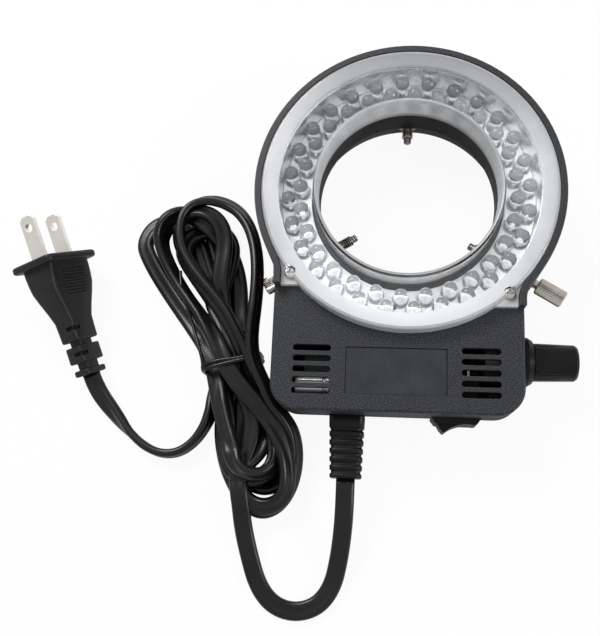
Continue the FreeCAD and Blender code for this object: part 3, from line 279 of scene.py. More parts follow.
# each point: x, y, height above the back face in mm, and the cord's roll in degrees
LEAD = [
    (-18.7, -95.9, 12.5, 0), (-18.7, -104.2, 12.5, 0), (-19.2, -113, 9.6, 0), (-20.4, -122.2, 5.2, 0),
    (-22.4, -131, 2.2, 0), (-27.1, -137.4, 1.6, 0), (-34.6, -139.8, 1.6, 0), (-42.1, -137.8, 1.6, 0),
    (-47.4, -131.8, 2.1, 0), (-50.7, -122.1, 3.2, 0),
]
HANK = [
    (-53, -113, 5.2, 0), (-53.9, -105.9, 7.2, 0), (-54.7, -101.5, 8.1, 0), (-55.3, -97, 7.6, 0),
    (-54.7, -92.5, 6.9, 0), (-53.2, -87.9, 7, 0), (-51.7, -83, 7.2, 0), (-51.4, -77.5, 7.3, 0),
    (-52.8, -72.1, 7.7, 0), (-55.1, -67.4, 8.4, 0), (-58.2, -62.5, 9.4, 0), (-60.5, -54.2, 9.9, 0),
    (-62.6, -45.4, 9.2, 0), (-67.7, -37.1, 7.3, 0), (-69.1, -33.6, 5.4, 30), (-73.3, -28.4, 4.4, 55),
    (-77.5, -22.6, 3.9, 66), (-81.2, -16.9, 4, 66), (-84.1, -11.2, 5.1, 66), (-83.2, -6.6, 7.6, 57),
    (-79.7, -3.4, 10.5, 47), (-75, -2.3, 12.2, 38), (-70.2, -3.8, 12.5, 29), (-66.5, -7.5, 12.2, 19),
    (-64.8, -12.6, 11.7, 10), (-64.7, -18.5, 11.3, 0), (-65.4, -24.3, 10.9, 0), (-65.8, -30.3, 10.2, 0),
    (-65.1, -36.4, 8.9, 0), (-62.3, -42.8, 7.5, 0), (-57.9, -48.2, 6.2, 0), (-54.2, -52.9, 5.3, 0),
    (-51.8, -60.8, 4.6, 0), (-49, -66.9, 3.9, 0), (-46.3, -72.5, 4, 0), (-43.9, -78, 5.5, 0),
    (-41.9, -82.8, 7.2, 0), (-41, -87.5, 8.4, 10), (-41.8, -91.7, 9.4, 36), (-44.6, -94.8, 10.7, 55),
    (-48.6, -96, 12, 62), (-52.7, -95.1, 13, 55), (-55.9, -92.3, 13.2, 36), (-57.3, -88.4, 12.6, 10),
    (-58.6, -84.3, 11.4, 28), (-61, -78.2, 10.1, 30), (-63.2, -71.4, 9.2, 25), (-64.8, -64.2, 8.5, 0),
    (-67.1, -56, 7.7, 0), (-71.2, -49.5, 6.3, 0), (-76.2, -43, 4.7, 10), (-81.4, -36.5, 3.3, 15),
    (-86.7, -29.6, 2.4, 15), (-91.8, -22.4, 2.1, 15), (-95.7, -15.8, 2, 15), (-96.9, -12.2, 2, 12),
    (-95.7, -7.9, 2, 12), (-92.7, -4.5, 2, 12), (-88.4, -3.2, 1.9, 12), (-83.6, -4.3, 1.7, 0),
    (-79.5, -7.3, 1.6, 0), (-76.6, -11.9, 1.6, 0), (-74.5, -17.7, 1.6, 0), (-72, -24.3, 1.6, 0),
    (-68.8, -31.1, 1.6, 0), (-64.9, -37.6, 1.6, 0), (-60.7, -44.3, 1.6, 0), (-54.4, -52.5, 1.6, 0),
    (-52.3, -60.8, 1.6, 0), (-54.5, -66.3, 1.6, 0), (-56.1, -72, 1.6, 0), (-56.6, -78, 1.6, 0),
    (-56.1, -83.5, 1.6, 0), (-55.7, -87.9, 1.6, 0), (-55.5, -91.5, 1.6, 0), (-54, -95.5, 1.6, 0),
    (-50.8, -98.4, 1.8, 0), (-46.6, -99.3, 2, 14), (-42.5, -98.1, 2.4, 33), (-39.7, -95, 2.8, 51),
    (-38.7, -90.9, 3.1, 70), (-38.9, -85.8, 3.8, 66), (-39.7, -80.5, 5.3, 64), (-41.7, -75.6, 7.5, 62),
    (-44.8, -71.1, 9.8, 62), (-47.8, -67.1, 11.6, 62), (-50.9, -63, 12.8, 62), (-53.7, -58, 13.3, 54),
    (-56.4, -52, 13.5, 42), (-59.6, -46, 13.6, 42), (-63.4, -39.8, 13.5, 42), (-68.3, -33.9, 13.2, 45),
    (-73.3, -28.4, 12.8, 48), (-77.4, -23, 12.4, 55), (-80.1, -17.3, 12.3, 70), (-81.2, -11, 12.6, 82),
    (-80.7, -4.9, 12.7, 82), (-78.1, -0.5, 12.4, 75), (-73.8, 1.9, 11.7, 60), (-68.8, 2.1, 10.9, 52),
    (-63.8, 0.4, 10.5, 52), (-59.4, -2.9, 10.7, 58), (-55.6, -8.7, 11.5, 66), (-53.1, -16, 12.6, 70),
    (-51.9, -23.6, 13.6, 70), (-51.6, -31.2, 14.1, 70), (-51.9, -38.4, 14.2, 68),
    (-52.5, -45.2, 13.9, 66), (-52.5, -51.5, 13.7, 64), (-51.3, -57.2, 13.6, 62),
    (-49, -62.2, 13.5, 62), (-46.4, -66.9, 13.2, 62), (-44, -71.8, 12.4, 62), (-40.4, -75.9, 10.9, 62),
    (-37.6, -79.9, 9.1, 62), (-36.2, -84.9, 7.4, 62), (-35.9, -90.2, 6.2, 62), (-36.6, -95.4, 5.2, 60),
    (-38.2, -100.1, 4.3, 58), (-40.6, -104.1, 3.5, 58), (-44, -106.7, 2.8, 50),
    (-47.8, -107.2, 2.3, 25), (-51.4, -105.7, 1.9, 5), (-54.5, -102.5, 1.7, 0), (-57.3, -98.3, 1.6, 0),
    (-59.8, -93.4, 1.7, 0), (-61.5, -88.1, 1.7, 5), (-62.6, -82.4, 1.7, 5), (-62.8, -76.5, 1.7, 0),
    (-61.5, -70.2, 1.7, 0), (-58.9, -62.6, 2, 0), (-60, -54.5, 2.6, 0), (-58.1, -49.4, 3.1, 0),
    (-58.6, -42.9, 3, 0), (-59.3, -35.8, 2.6, 0), (-59.9, -28.3, 2.9, 0), (-61.5, -21.2, 4.2, 5),
    (-64.6, -14.7, 6.6, 5), (-69.4, -9.1, 8.9, 0), (-74.5, -5.4, 9.6, 10), (-78.3, -3.1, 9.4, 20),
    (-82.4, -3, 10.2, 37), (-86, -4.9, 11.2, 54), (-88.5, -8.2, 10.8, 62), (-89.2, -12.2, 9.7, 62),
    (-87.7, -17, 8.8, 60), (-84.7, -23, 8.4, 62), (-81, -28.9, 8.6, 66), (-76.8, -34.5, 9.2, 70),
    (-72.1, -40.3, 10.2, 66), (-67.7, -46.2, 11.5, 40), (-64.2, -52.1, 12.5, 15), (-61.4, -57.8, 13, 5),
    (-58.3, -63, 12.9, 0), (-54.6, -67.2, 12.7, 0), (-50.6, -71.3, 12.4, 0), (-46.6, -75.6, 12.1, 0),
    (-43, -80.3, 11.9, 15), (-40.2, -85.4, 11.6, 35), (-38.6, -90.7, 11, 46), (-38, -96.2, 10.2, 48),
    (-38.5, -100.8, 9.2, 47), (-41.1, -104.5, 8.2, 43), (-45.5, -106.2, 7.3, 36),
    (-50.1, -105.5, 6.8, 27), (-53.9, -102.6, 7, 15), (-55.5, -98.3, 7.8, 0), (-54.6, -94, 7.9, 0),
    (-51.9, -90.7, 6.5, 0), (-49.1, -87.3, 4.6, 0), (-47.9, -82.9, 3.2, 0), (-48.4, -78.1, 2.5, 0),
    (-50.3, -73.3, 2.8, 0), (-53.6, -68.8, 3.6, 0), (-58.1, -62.6, 4.3, 0), (-60.8, -54, 4.5, 0),
    (-63, -44.9, 5.2, 0), (-65.2, -39.1, 6.4, 0), (-69.8, -32.5, 7.1, 0), (-74.7, -26.1, 7.2, 0),
    (-78.8, -20.6, 7.1, 0), (-80.8, -16.4, 6.8, 0), (-80, -11.8, 5.9, 0), (-76.9, -8.3, 4.8, 0),
    (-72.3, -6.9, 4.4, 0), (-67.6, -8.1, 5.3, 0), (-64, -11.5, 6.5, 0), (-62.5, -16.4, 7.1, 0),
    (-63.5, -22.8, 7.1, 0), (-65, -28.9, 7.2, 0), (-66, -34.9, 7.1, 0), (-64.8, -41, 7.1, 0),
    (-61.5, -46.3, 7.6, 0), (-57.5, -50.7, 8.2, 0), (-54.2, -53.1, 8, 0), (-51.8, -60.8, 7, 0),
    (-48.9, -67.5, 6.5, 0), (-46.9, -72.9, 5.8, 0), (-45.2, -78.2, 4.8, 0), (-43.8, -83.4, 4.2, 0),
    (-43, -88.5, 4.5, 0), (-44, -92.7, 5, 0), (-46.9, -95.7, 5.3, 0), (-51.1, -97, 5.6, 0),
    (-55.5, -96.1, 5.8, 0), (-58.9, -93.1, 5.7, 0), (-60.4, -88.9, 5.3, 0), (-60.5, -84.1, 4.9, 0),
    (-60.7, -79.2, 4.8, 0), (-61, -74.5, 5, 0), (-62.4, -69.8, 5.2, 0), (-64.7, -64.2, 5.2, 0),
    (-67, -55.9, 4.9, 0), (-69, -48.8, 4.4, 20), (-70.6, -43.9, 3.9, 45), (-74.3, -38.1, 3.5, 60),
    (-78.4, -32.8, 3.2, 65), (-82.4, -27.5, 3, 65), (-85.9, -21.8, 3, 65), (-88.3, -16.5, 3.2, 60),
    (-89.4, -11.7, 3.5, 60), (-88.7, -7.1, 3.5, 38), (-86.2, -3.4, 2.9, 16), (-82.1, -1.5, 2.1, 0),
    (-77.6, -2, 1.8, 0), (-73.8, -4.5, 1.7, 0), (-71.3, -8.6, 1.6, 0), (-69.5, -13.8, 1.6, 0),
    (-67.5, -20, 1.6, 0), (-65.6, -26.4, 1.6, 0), (-64.9, -33.2, 1.6, 0), (-65.7, -40.1, 1.6, 0),
    (-66.9, -47.4, 1.7, 0), (-66.8, -55.8, 1.9, 0), (-65.1, -64.1, 2.3, 0), (-66, -68.9, 2.9, 30),
    (-66.8, -73.6, 3.4, 65),
]
TAIL = [
    (-68.6, -79.3, 3.5, 82), (-72.2, -85, 3.3, 88), (-77.5, -88.9, 3.1, 88), (-83.7, -89.6, 3.1, 88),
    (-90, -87.1, 3.1, 88), (-95.7, -82.5, 3.1, 80), (-100.6, -77.3, 3.1, 45), (-109.3, -67.6, 3.7, 0),
    (-111.3, -62.1, 5.2, 0),
]
ROUTE = LEAD + HANK + TAIL
print("cord points", len(ROUTE))

# %% [markdown]
# ## From the spline to a flat cord
# A bevelled curve would be round. A flat cord also twists a little as it lies, so its section is
# swept by hand: the smooth line is read back from the spline, and each place on it gets a ring of
# points. The ring's width starts out level, and is then turned by the roll that belongs there.

# %% Read the smooth line from the spline
def nurbs_curve(name, points, closed=False):
    data = bpy.data.curves.new(name, "CURVE")
    data.dimensions = "3D"
    data.resolution_u = 8
    spline = data.splines.new("NURBS")
    spline.points.add(len(points) - 1)
    for point, at in zip(spline.points, points):
        point.co = (*at, 1.0)
    spline.order_u = 3
    spline.use_endpoint_u = not closed
    spline.use_cyclic_u = closed
    return data


def smooth_line(name, points):
    holder = into_scene(name, nurbs_curve(name, points))
    mesh = bpy.data.meshes.new_from_object(holder)
    line = np.array([v.co for v in mesh.vertices])
    bpy.data.objects.remove(holder)
    return line


cord_line = smooth_line("cord_route", [place(x, y, z) for x, y, z, _ in ROUTE])

# %% The twin section
GROOVE_SHARE, GROOVE_HALF = 0.30, 0.75


def twin_section(width, thick, count=28):
    """Rounded ends and a groove along the middle of both faces, as (across, over) pairs."""
    ring = []
    flat = (width - thick) / 2
    for i in range(count):
        angle = math.tau * i / count
        across, over = math.cos(angle), math.sin(angle)
        x = flat * max(-1.0, min(1.0, across * 1.6)) + thick / 2 * across
        dip = GROOVE_SHARE * math.exp(-(x / GROOVE_HALF) ** 2)
        ring.append((x, (thick / 2) * math.copysign(abs(over) ** 0.8, over) * (1 - dip)))
    return ring


print("points in the section", len(twin_section(CORD_W, CORD_T)))


# %% Sweep the section along the line
def lengths_of(steps):
    return np.linalg.norm(steps, axis=1)


def sweep(name, line, section, rolls):
    mesh = bpy.data.meshes.new(name)
    along = np.gradient(line, axis=0)
    along /= lengths_of(along)[:, None]
    level = np.cross(along, (0.0, 0.0, 1.0))
    level /= lengths_of(level)[:, None]
    over = np.cross(level, along)
    cos, sin = np.cos(rolls)[:, None], np.sin(rolls)[:, None]
    wide, thick = level * cos + over * sin, over * cos - level * sin
    rings = [line + (wide * a + thick * b) * MM for a, b in section]
    points = np.stack(rings, axis=1).reshape(-1, 3)
    count, steps = len(section), len(line)
    faces = [(i * count + j, i * count + (j + 1) % count, (i + 1) * count + (j + 1) % count, (i + 1) * count + j)
             for i in range(steps - 1) for j in range(count)]
    faces += [tuple(range(count))[::-1], tuple((steps - 1) * count + j for j in range(count))]
    mesh.from_pydata([tuple(p) for p in points], [], faces)
    mesh.validate()
    layer = mesh.uv_layers.new(name="along_and_round")
    run = np.concatenate([[0.0], np.cumsum(lengths_of(np.diff(line, axis=0)))]) / MM
    for polygon in mesh.polygons:
        polygon.use_smooth = len(polygon.vertices) == 4
        for loop in polygon.loop_indices:
            vertex = mesh.loops[loop].vertex_index
            layer.data[loop].uv = (run[vertex // count], (vertex % count) / count)
    return into_scene(name, mesh)


# %% The mains cord
# a control point of an order 3 spline pulls hardest half a step before its own number
LAST = len(ROUTE) - 2.0
pull_places = np.array([0.0] + [i - 0.5 for i in range(1, len(ROUTE) - 1)] + [LAST])
line_places = np.linspace(0.0, LAST, len(cord_line))
rolls = np.interp(line_places, pull_places, [math.radians(roll) for _, _, _, roll in ROUTE])
cord = sweep("mains_cord", cord_line, twin_section(CORD_W, CORD_T), rolls)
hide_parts("cord_lead", "cord_hank", "cord_tail")
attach(cord, "housing")
print("cord faces", len(cord.data.polygons))

# %% [markdown]
# ## Clear cover
# The cover is one moulding, but only its window over the LEDs is polished. Outside the window it
# is frosted, and so are the two ears that carry the screws. Painting the frost on would leave a
# ragged line, so the cover is turned here from its section, and the line between clear and
# frosted runs as a clean circle of edges.

# %% The cover's measures
WINDOW_R = 43.9
INNER_R, OUTER_R = 30.5, 49.45
COVER_TOP, COVER_UNDER = 32.0, 30.0
INNER_FOOT, OUTER_FOOT, WALL = 21.2, 26.6, 1.5
EAR_TOP, DRILL_TOP = 28.6, 40.0
CLEAR, FROSTED, SKIRT = 0, 1, 2


def quarter_round(r, z, radius, start):
    turns = [math.radians(start - 18 * i) for i in range(6)]
    return [(r + radius * math.cos(turn), z + radius * math.sin(turn)) for turn in turns]


section = ([(INNER_R, INNER_FOOT)] + quarter_round(INNER_R + 1, COVER_TOP - 1, 1.0, 180) + [(WINDOW_R, COVER_TOP)]
           + quarter_round(OUTER_R - 1, COVER_TOP - 1, 1.0, 90)
           + [(OUTER_R, OUTER_FOOT), (OUTER_R - WALL, OUTER_FOOT), (OUTER_R - WALL, COVER_UNDER),
              (WINDOW_R, COVER_UNDER), (INNER_R + WALL, COVER_UNDER), (INNER_R + WALL, INNER_FOOT)])
LEFT_EAR = [(-34.9, -34.3), (-41.45, -34.3), (-41.45, -30.12), (-41.49, -29.15), (-41.62, -28.18), (-41.83, -27.23),
            (-42.12, -26.3), (-42.49, -25.4), (-42.7, -24.6), (-41.9, -23.9), (-38.0, -29.4)]
RIGHT_EAR = [(35.55, -40.5), (28.0, -40.5), (28.3, -38.8), (36.8, -31.1), (37.6, -31.6), (37.46, -32.38),
             (36.89, -33.33), (36.41, -34.33), (36.04, -35.38), (35.77, -36.45), (35.6, -37.55), (35.55, -38.66)]
EAR_SCREWS = ((-38.4, -30.5), (32.8, -36.4))
print("points in the cover's section", len(section))


# %% Solids from corners, from a section and from an outline
def solid(name, corners, faces, marks=None):
    """A closed mesh with its faces turned outwards; a mark is a face's number in the finishes."""
    mesh = bpy.data.meshes.new(name)
    mesh.from_pydata([place(*p) for p in corners], [], faces)
    if marks:
        for face, mark in zip(mesh.polygons, marks):
            face.material_index = mark
    shape = bmesh.new()
    shape.from_mesh(mesh)
    bmesh.ops.recalc_face_normals(shape, faces=shape.faces)
    shape.to_mesh(mesh)
    shape.free()
    return into_scene(name, mesh)


def turned(name, profile, steps, mark_of):
    corners = [(r * math.cos(math.tau * s / steps), r * math.sin(math.tau * s / steps), z)
               for s in range(steps) for r, z in profile]
    count = len(profile)
    faces, marks = [], []
    for s in range(steps):
        for k in range(count):
            a, b = s * count, ((s + 1) % steps) * count
            n = (k + 1) % count
            faces.append((a + k, b + k, b + n, a + n))
            marks.append(mark_of((profile[k][0] + profile[n][0]) / 2))
    return solid(name, corners, faces, marks)


def plate(name, outline, low, high, mark=0):
    count = len(outline)
    corners = [(x, y, low) for x, y in outline] + [(x, y, high) for x, y in outline]
    faces = [tuple(range(count)), tuple(range(count, 2 * count))]
    faces += [(i, (i + 1) % count, count + (i + 1) % count, count + i) for i in range(count)]
    return solid(name, corners, faces, [mark] * len(faces))


def circle(x, y, radius, sides):
    turns = [math.tau * i / sides for i in range(sides)]
    return [(x + radius * math.cos(turn), y + radius * math.sin(turn)) for turn in turns]


# %% Join and cut
def combine(piece, other, operation):
    """Joins the other piece on, or cuts it away, and throws it away after that."""
    step = piece.modifiers.new("step", "BOOLEAN")
    step.operation = operation
    step.solver = "EXACT"
    step.object = other
    result = bpy.data.meshes.new_from_object(piece.evaluated_get(bpy.context.evaluated_depsgraph_get()))
    piece.modifiers.remove(step)
    piece.data = result
    bpy.data.objects.remove(other)


def even_out(piece, sharp_from):
    piece.data.shade_smooth()
    piece.data.set_sharp_from_angle(angle=math.radians(sharp_from))
    return piece


# %% Turn the cover, add its ears and drill them
def finish_at(r):
    if r > OUTER_R - WALL - 0.1 or r < INNER_R + WALL + 0.1:
        return SKIRT
    return FROSTED if r > WINDOW_R else CLEAR


cover = turned("cover_with_ears", section, 192, finish_at)
ears = [plate("ear", outline, OUTER_FOOT, EAR_TOP, FROSTED) for outline in (LEFT_EAR, RIGHT_EAR)]
for piece in (cover, *ears):
    for _ in (CLEAR, FROSTED, SKIRT):
        piece.data.materials.append(None)
for ear in ears:
    combine(cover, ear, "UNION")
for x, y in EAR_SCREWS:
    for radius, low in ((1.3, 20.0), (2.1, EAR_TOP)):
        combine(cover, plate("drill", circle(x, y, radius, 32), low, DRILL_TOP), "DIFFERENCE")
even_out(cover, 30)
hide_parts("clear_cover")
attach(cover, "housing")
print("cover faces", len(cover.data.polygons))

# %% [markdown]
# ## Inside the LEDs
# Each clear LED holds a small silvery cup with a pale yellow chip in it, on two posts. They are
# only seen through the lens, where they break up the light. One mesh holds all of them, because
# 56 pieces of four parts each would only make the scene longer.

# %% Cups, chips and posts
LED_ROWS = ((36.9, 0.5), (40.8, 0.0))
LED_COUNT = 28
LED_PHASE = 273.5
CUP_FOOT, CUP_LIP = 20.6, 22.0
POST_FOOT, POST_ASIDE = 19.0, 0.7
CUP, CHIP = 0, 1
ROUND_SIDES = 12
corners, faces, marks = [], [], []


def add_rings(x, y, rings, mark):
    """One closed round body from rings of (radius, height)."""
    first = len(corners)
    for radius, z in rings:
        corners.extend((*at, z) for at in circle(x, y, radius, ROUND_SIDES))
    for k in range(len(rings) - 1):
        for i in range(ROUND_SIDES):
            a, b = first + k * ROUND_SIDES + i, first + k * ROUND_SIDES + (i + 1) % ROUND_SIDES
            faces.append((a, b, b + ROUND_SIDES, a + ROUND_SIDES))
            marks.append(mark)
    for start in (first, first + (len(rings) - 1) * ROUND_SIDES):
        faces.append(tuple(range(start, start + ROUND_SIDES)))
        marks.append(mark)


for row_r, offset in LED_ROWS:
    for i in range(LED_COUNT):
        angle = math.radians(LED_PHASE + (i + offset) * 360 / LED_COUNT)
        x, y = row_r * math.cos(angle), row_r * math.sin(angle)
        add_rings(x, y, [(0.4, CUP_FOOT), (0.8, CUP_LIP), (0.7, CUP_LIP), (0.42, CUP_FOOT + 0.5)], CUP)
        add_rings(x, y, [(0.38, CUP_FOOT + 0.52), (0.38, CUP_FOOT + 0.8)], CHIP)
        for side in (-POST_ASIDE, POST_ASIDE):
            add_rings(x - side * math.sin(angle), y + side * math.cos(angle),
                      [(0.28, POST_FOOT), (0.28, CUP_FOOT + 0.1)], CUP)
cups = solid("led_cups", corners, faces, marks)
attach(cups, "housing")
print("cups for", len(LED_ROWS) * LED_COUNT, "LEDs")

# %% [markdown]
# ## Strain relief and plug
# Both are soft mouldings without a sharp edge. A block with bevelled edges would do for one of
# them, but their shape changes all along. So they are skinned over rounded rectangles that stand
# along an axis: the relief with its six rings, the plug with its flange, its tapered grip and its
# jointed tail. The finger ribs and the two notches on the ridge are cut afterwards.

# %% Skin rounded rectangles along an axis
def rounded_ring(wide, high, radius, steps=6):
    ring = []
    for sx, sy, start in ((1, 1, 0), (-1, 1, 90), (-1, -1, 180), (1, -1, 270)):
        for i in range(steps):
            angle = math.radians(start + 90 * i / (steps - 1))
            ring.append((sx * (wide / 2 - radius) + radius * math.cos(angle),
                         sy * (high / 2 - radius) + radius * math.sin(angle)))
    return ring


def skinned(name, sections, at, across, over, along):
    """Sections are (distance along, wide, high, corner radius), in mm."""
    corners, faces = [], []
    for far, wide, high, radius in sections:
        for a, b in rounded_ring(wide, high, radius):
            corners.append(tuple(at[k] + across[k] * a + over[k] * b + along[k] * far for k in range(3)))
    count = len(corners) // len(sections)
    for s in range(len(sections) - 1):
        for i in range(count):
            j = (i + 1) % count
            faces.append((s * count + i, s * count + j, (s + 1) * count + j, (s + 1) * count + i))
    faces += [tuple(range(count)), tuple(range(len(corners) - count, len(corners)))]
    return solid(name, corners, faces)


def pillow(start, end, wide, high, corner_r, soft):
    """Sections of a block between two distances, with its ends rounded off."""
    rows = []
    for turn in (math.radians(30 * i) for i in range(4)):
        inset = 2 * soft * (1 - math.sin(turn))
        rows.append((start + soft * (1 - math.cos(turn)), wide - inset, high - inset, corner_r))
    return rows + [(start + end - far, w, h, r) for far, w, h, r in rows[::-1]]


# %% The ringed relief
RELIEF_AT = (-18.7, -75.3, 12.5)
RELIEF_LONG, RELIEF_CORNER = 20.6, 1.8
RINGS, FIRST_GAP, RING_PITCH, GAP_LONG, GAP_DEEP = 6, 4.3, 2.75, 1.2, 0.45
SOFT = 0.12


def relief_size(far, inset):
    """The relief tapers from 11.8 x 9.4 mm at the box to 10.4 x 7.6 mm at its end."""
    share = max(far, 0.0) / RELIEF_LONG
    return (far, 11.8 - 1.4 * share - 2 * inset, 9.4 - 1.8 * share - 2 * inset, RELIEF_CORNER)


rows = [(-5.9, 10.4, 8.0, 1.0), (-3.95, 10.4, 8.0, 1.0), (-3.9, 8.6, 6.2, 0.6), (0.0, 8.6, 6.2, 0.6),
        relief_size(0.02, 0.2), relief_size(0.3, 0.0)]
for i in range(RINGS):
    gap = FIRST_GAP + i * RING_PITCH
    rows += [relief_size(gap - 0.3, 0.0), relief_size(gap - 0.08, SOFT), relief_size(gap + 0.08, GAP_DEEP),
             relief_size(gap + GAP_LONG - 0.28, GAP_DEEP), relief_size(gap + GAP_LONG - 0.12, SOFT),
             relief_size(gap + GAP_LONG + 0.1, 0.0)]
rows += [relief_size(RELIEF_LONG - 0.4, 0.0), relief_size(RELIEF_LONG - 0.12, SOFT), relief_size(RELIEF_LONG, GAP_DEEP)]
relief = even_out(skinned("ringed_relief", rows, RELIEF_AT, (1, 0, 0), (0, 0, 1), (0, -1, 0)), 40)
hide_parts("strain_relief")
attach(relief, "housing")
print("relief faces", len(relief.data.polygons))

# %% Where the plug lies, and its blocks
# the plug rests on one corner of its flange, so it points upwards and leans to one side
PLUG_AT = (-125.7, -22.7, 16.15)
heading, rise, lean = math.radians(110.1), math.radians(14.6), math.radians(63.6)
towards = Vector((math.cos(heading) * math.cos(rise), math.sin(heading) * math.cos(rise), math.sin(rise)))
beside = towards.cross(Vector((0, 0, 1))).normalized()
above = beside.cross(towards).normalized()
blade_to_blade = beside * math.cos(lean) - above * math.sin(lean)
through = beside * math.sin(lean) + above * math.cos(lean)


def on_plug(name, sections, at=PLUG_AT):
    return skinned(name, sections, at, tuple(blade_to_blade), tuple(through), tuple(-towards))


def cut_from_plug(x0, x1, y0, y1, far, half):
    """Cuts a box: x from blade to blade, y through the plug, far back from its face."""
    middle = [PLUG_AT[k] + blade_to_blade[k] * (x0 + x1) / 2 + through[k] * (y0 + y1) / 2 for k in range(3)]
    rows = [(end, x1 - x0, y1 - y0, 0.02) for end in (far - half, far + half)]
    combine(plug, on_plug("cutter", rows, middle), "DIFFERENCE")


print("the plug points to", [round(v, 3) for v in towards])

# %% Flange, grip, neck, joint and collar
GRIP = [(2.3, 20.2, 14.0, 1.6), (5.0, 20.9, 13.3, 1.6), (8.0, 21.2, 12.4, 1.6), (11.0, 21.0, 11.5, 1.6),
        (14.5, 18.6, 10.6, 1.6), (19.0, 14.8, 9.4, 1.4), (23.0, 12.0, 8.4, 1.3), (27.0, 11.6, 8.1, 1.2),
        (30.3, 11.4, 8.0, 1.2), (30.7, 11.0, 7.6, 1.1), (30.8, 10.4, 7.0, 1.0)]
NECK = [(30.0, 6.8, 5.2, 1.0), (42.0, 6.4, 4.8, 1.0)]
plug = on_plug("two_blade_plug", pillow(0.0, 2.6, 25.3, 19.2, 2.4, 0.8))
combine(plug, on_plug("grip", GRIP), "UNION")
for piece in (on_plug("neck", NECK), on_plug("joint", pillow(32.7, 38.7, 10.8, 7.6, 1.3, 0.45)),
              on_plug("collar", pillow(41.2, 43.4, 10.2, 7.2, 1.5, 0.55))):
    combine(plug, piece, "UNION")
print("plug faces before the cuts", len(plug.data.polygons))

# %% Ribs, notches and slots for the blades
RIBS, FIRST_RIB, RIB_PITCH, RIB_DEEP, RIB_HALF = 9, 5.4, 1.1, 0.35, 0.28
NOTCHES, NOTCH_HALF = ((26.2, 11.6, 8.2), (35.6, 10.8, 7.6)), 0.75
BLADE_AT, BLADE_HALF_THICK, BLADE_HALF_WIDE = 6.35, 0.75, 3.175
for i in range(RIBS):
    far = FIRST_RIB + RIB_PITCH * i
    half_long = 6.4 - 0.35 * max(0, i - 4)
    face = (14.0 - 2.6 * (far - 2.3) / 8.7) / 2
    for side in (-face, face):
        cut_from_plug(-half_long, half_long, side - RIB_DEEP, side + RIB_DEEP, far, RIB_HALF)
for far, wide, high in NOTCHES:
    side, top = wide / 2, high / 2
    cut_from_plug(-side - 1, -side + 3.6, top - 1.5, top + 1, far, NOTCH_HALF)
    cut_from_plug(-side - 1, -side + 1.5, top - 3.8, top + 1, far, NOTCH_HALF)
    cut_from_plug(side - 3.6, side + 1, -top - 1, -top + 1.5, far, NOTCH_HALF)
for x in (-BLADE_AT, BLADE_AT):
    cut_from_plug(x - BLADE_HALF_THICK, x + BLADE_HALF_THICK, -BLADE_HALF_WIDE, BLADE_HALF_WIDE, 2.0, 3.0)
even_out(plug, 40)
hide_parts("plug_body")
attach(plug, "housing")
print("plug faces", len(plug.data.polygons))

# %% [markdown]
# ## Black plastics
# Four black plastics meet here. The housing is grained on the dimmer box and smooth on the rim
# and in the bore, so its finish changes with the place. The knob and the switch are a smoother,
# shinier moulding. The strain relief and the plug are soft PVC, and the cord is the same PVC
# with a waxy gloss. One black for all would make the object look cast in one piece, so they share
# the groups above with different values.

# %% Putting a finish on
def put_on(finish, *pieces):
    for piece in pieces:
        piece.data.materials.clear()
        piece.data.materials.append(finish)


def dress(finish, *names):
    put_on(finish, *(nodes[name] for name in names))
    print(finish.name, "on", ", ".join(names))


def vary_gloss(tree, shader, touch, shiny, dull):
    tree.links.new(between(tree, touch.outputs["Gloss"], 0.0, 1.0, shiny, dull), shader.inputs["Roughness"])


# %% Housing and back plate
RIM_FROM, RIM_FULL = 0.01466, 0.01474
BORE_FROM, BORE_FULL = 0.0325, 0.0323
housing_black, tree, shader = new_finish("grained_housing_black", Specular_IOR_Level=0.28)
texture = use_group(tree, grain, Grain=0.42, Fleck_Share=0.5)
edge = use_group(tree, edges, Radius=0.25)
touch = use_group(tree, handling, Patch=14.0)
at, from_axis = axis_distance(tree)
rim = between(tree, at[2], RIM_FROM, RIM_FULL)
bore = between(tree, from_axis, BORE_FROM, BORE_FULL)
grained = rest_of(tree, arithmetic(tree, "MAXIMUM", rim, bore))
flecks = times(tree, texture.outputs["Fleck"], rest_of(tree, bore))
colour = blend_colours(tree, touch.outputs["Gloss"], (0.0088, 0.0092, 0.0112), (0.0125, 0.0131, 0.0153))
colour = blend_colours(tree, rim, colour, (0.022, 0.022, 0.024))
colour = blend_colours(tree, bore, colour, (0.003, 0.003, 0.0035))
colour = blend_colours(tree, flecks, colour, (0.060, 0.063, 0.072))
# brighter edges: partly handling wear, partly painted highlight
colour = blend_colours(tree, times(tree, edge.outputs["Edge"], 0.25), colour, (0.12, 0.12, 0.125))
colour = blend_colours(tree, times(tree, touch.outputs["Dust"], 0.06), colour, (0.35, 0.34, 0.33))
tree.links.new(colour, shader.inputs["Base Color"])
gloss = between(tree, touch.outputs["Gloss"], 0.0, 1.0, 0.50, 0.62)
tree.links.new(arithmetic(tree, "SUBTRACT", gloss, times(tree, rim, 0.14)), shader.inputs["Roughness"])
bump_into(tree, shader, times(tree, texture.outputs["Height"], grained), 0.55, 0.00008, edge.outputs["Normal"])
dress(housing_black, "front_housing", "back_cover")


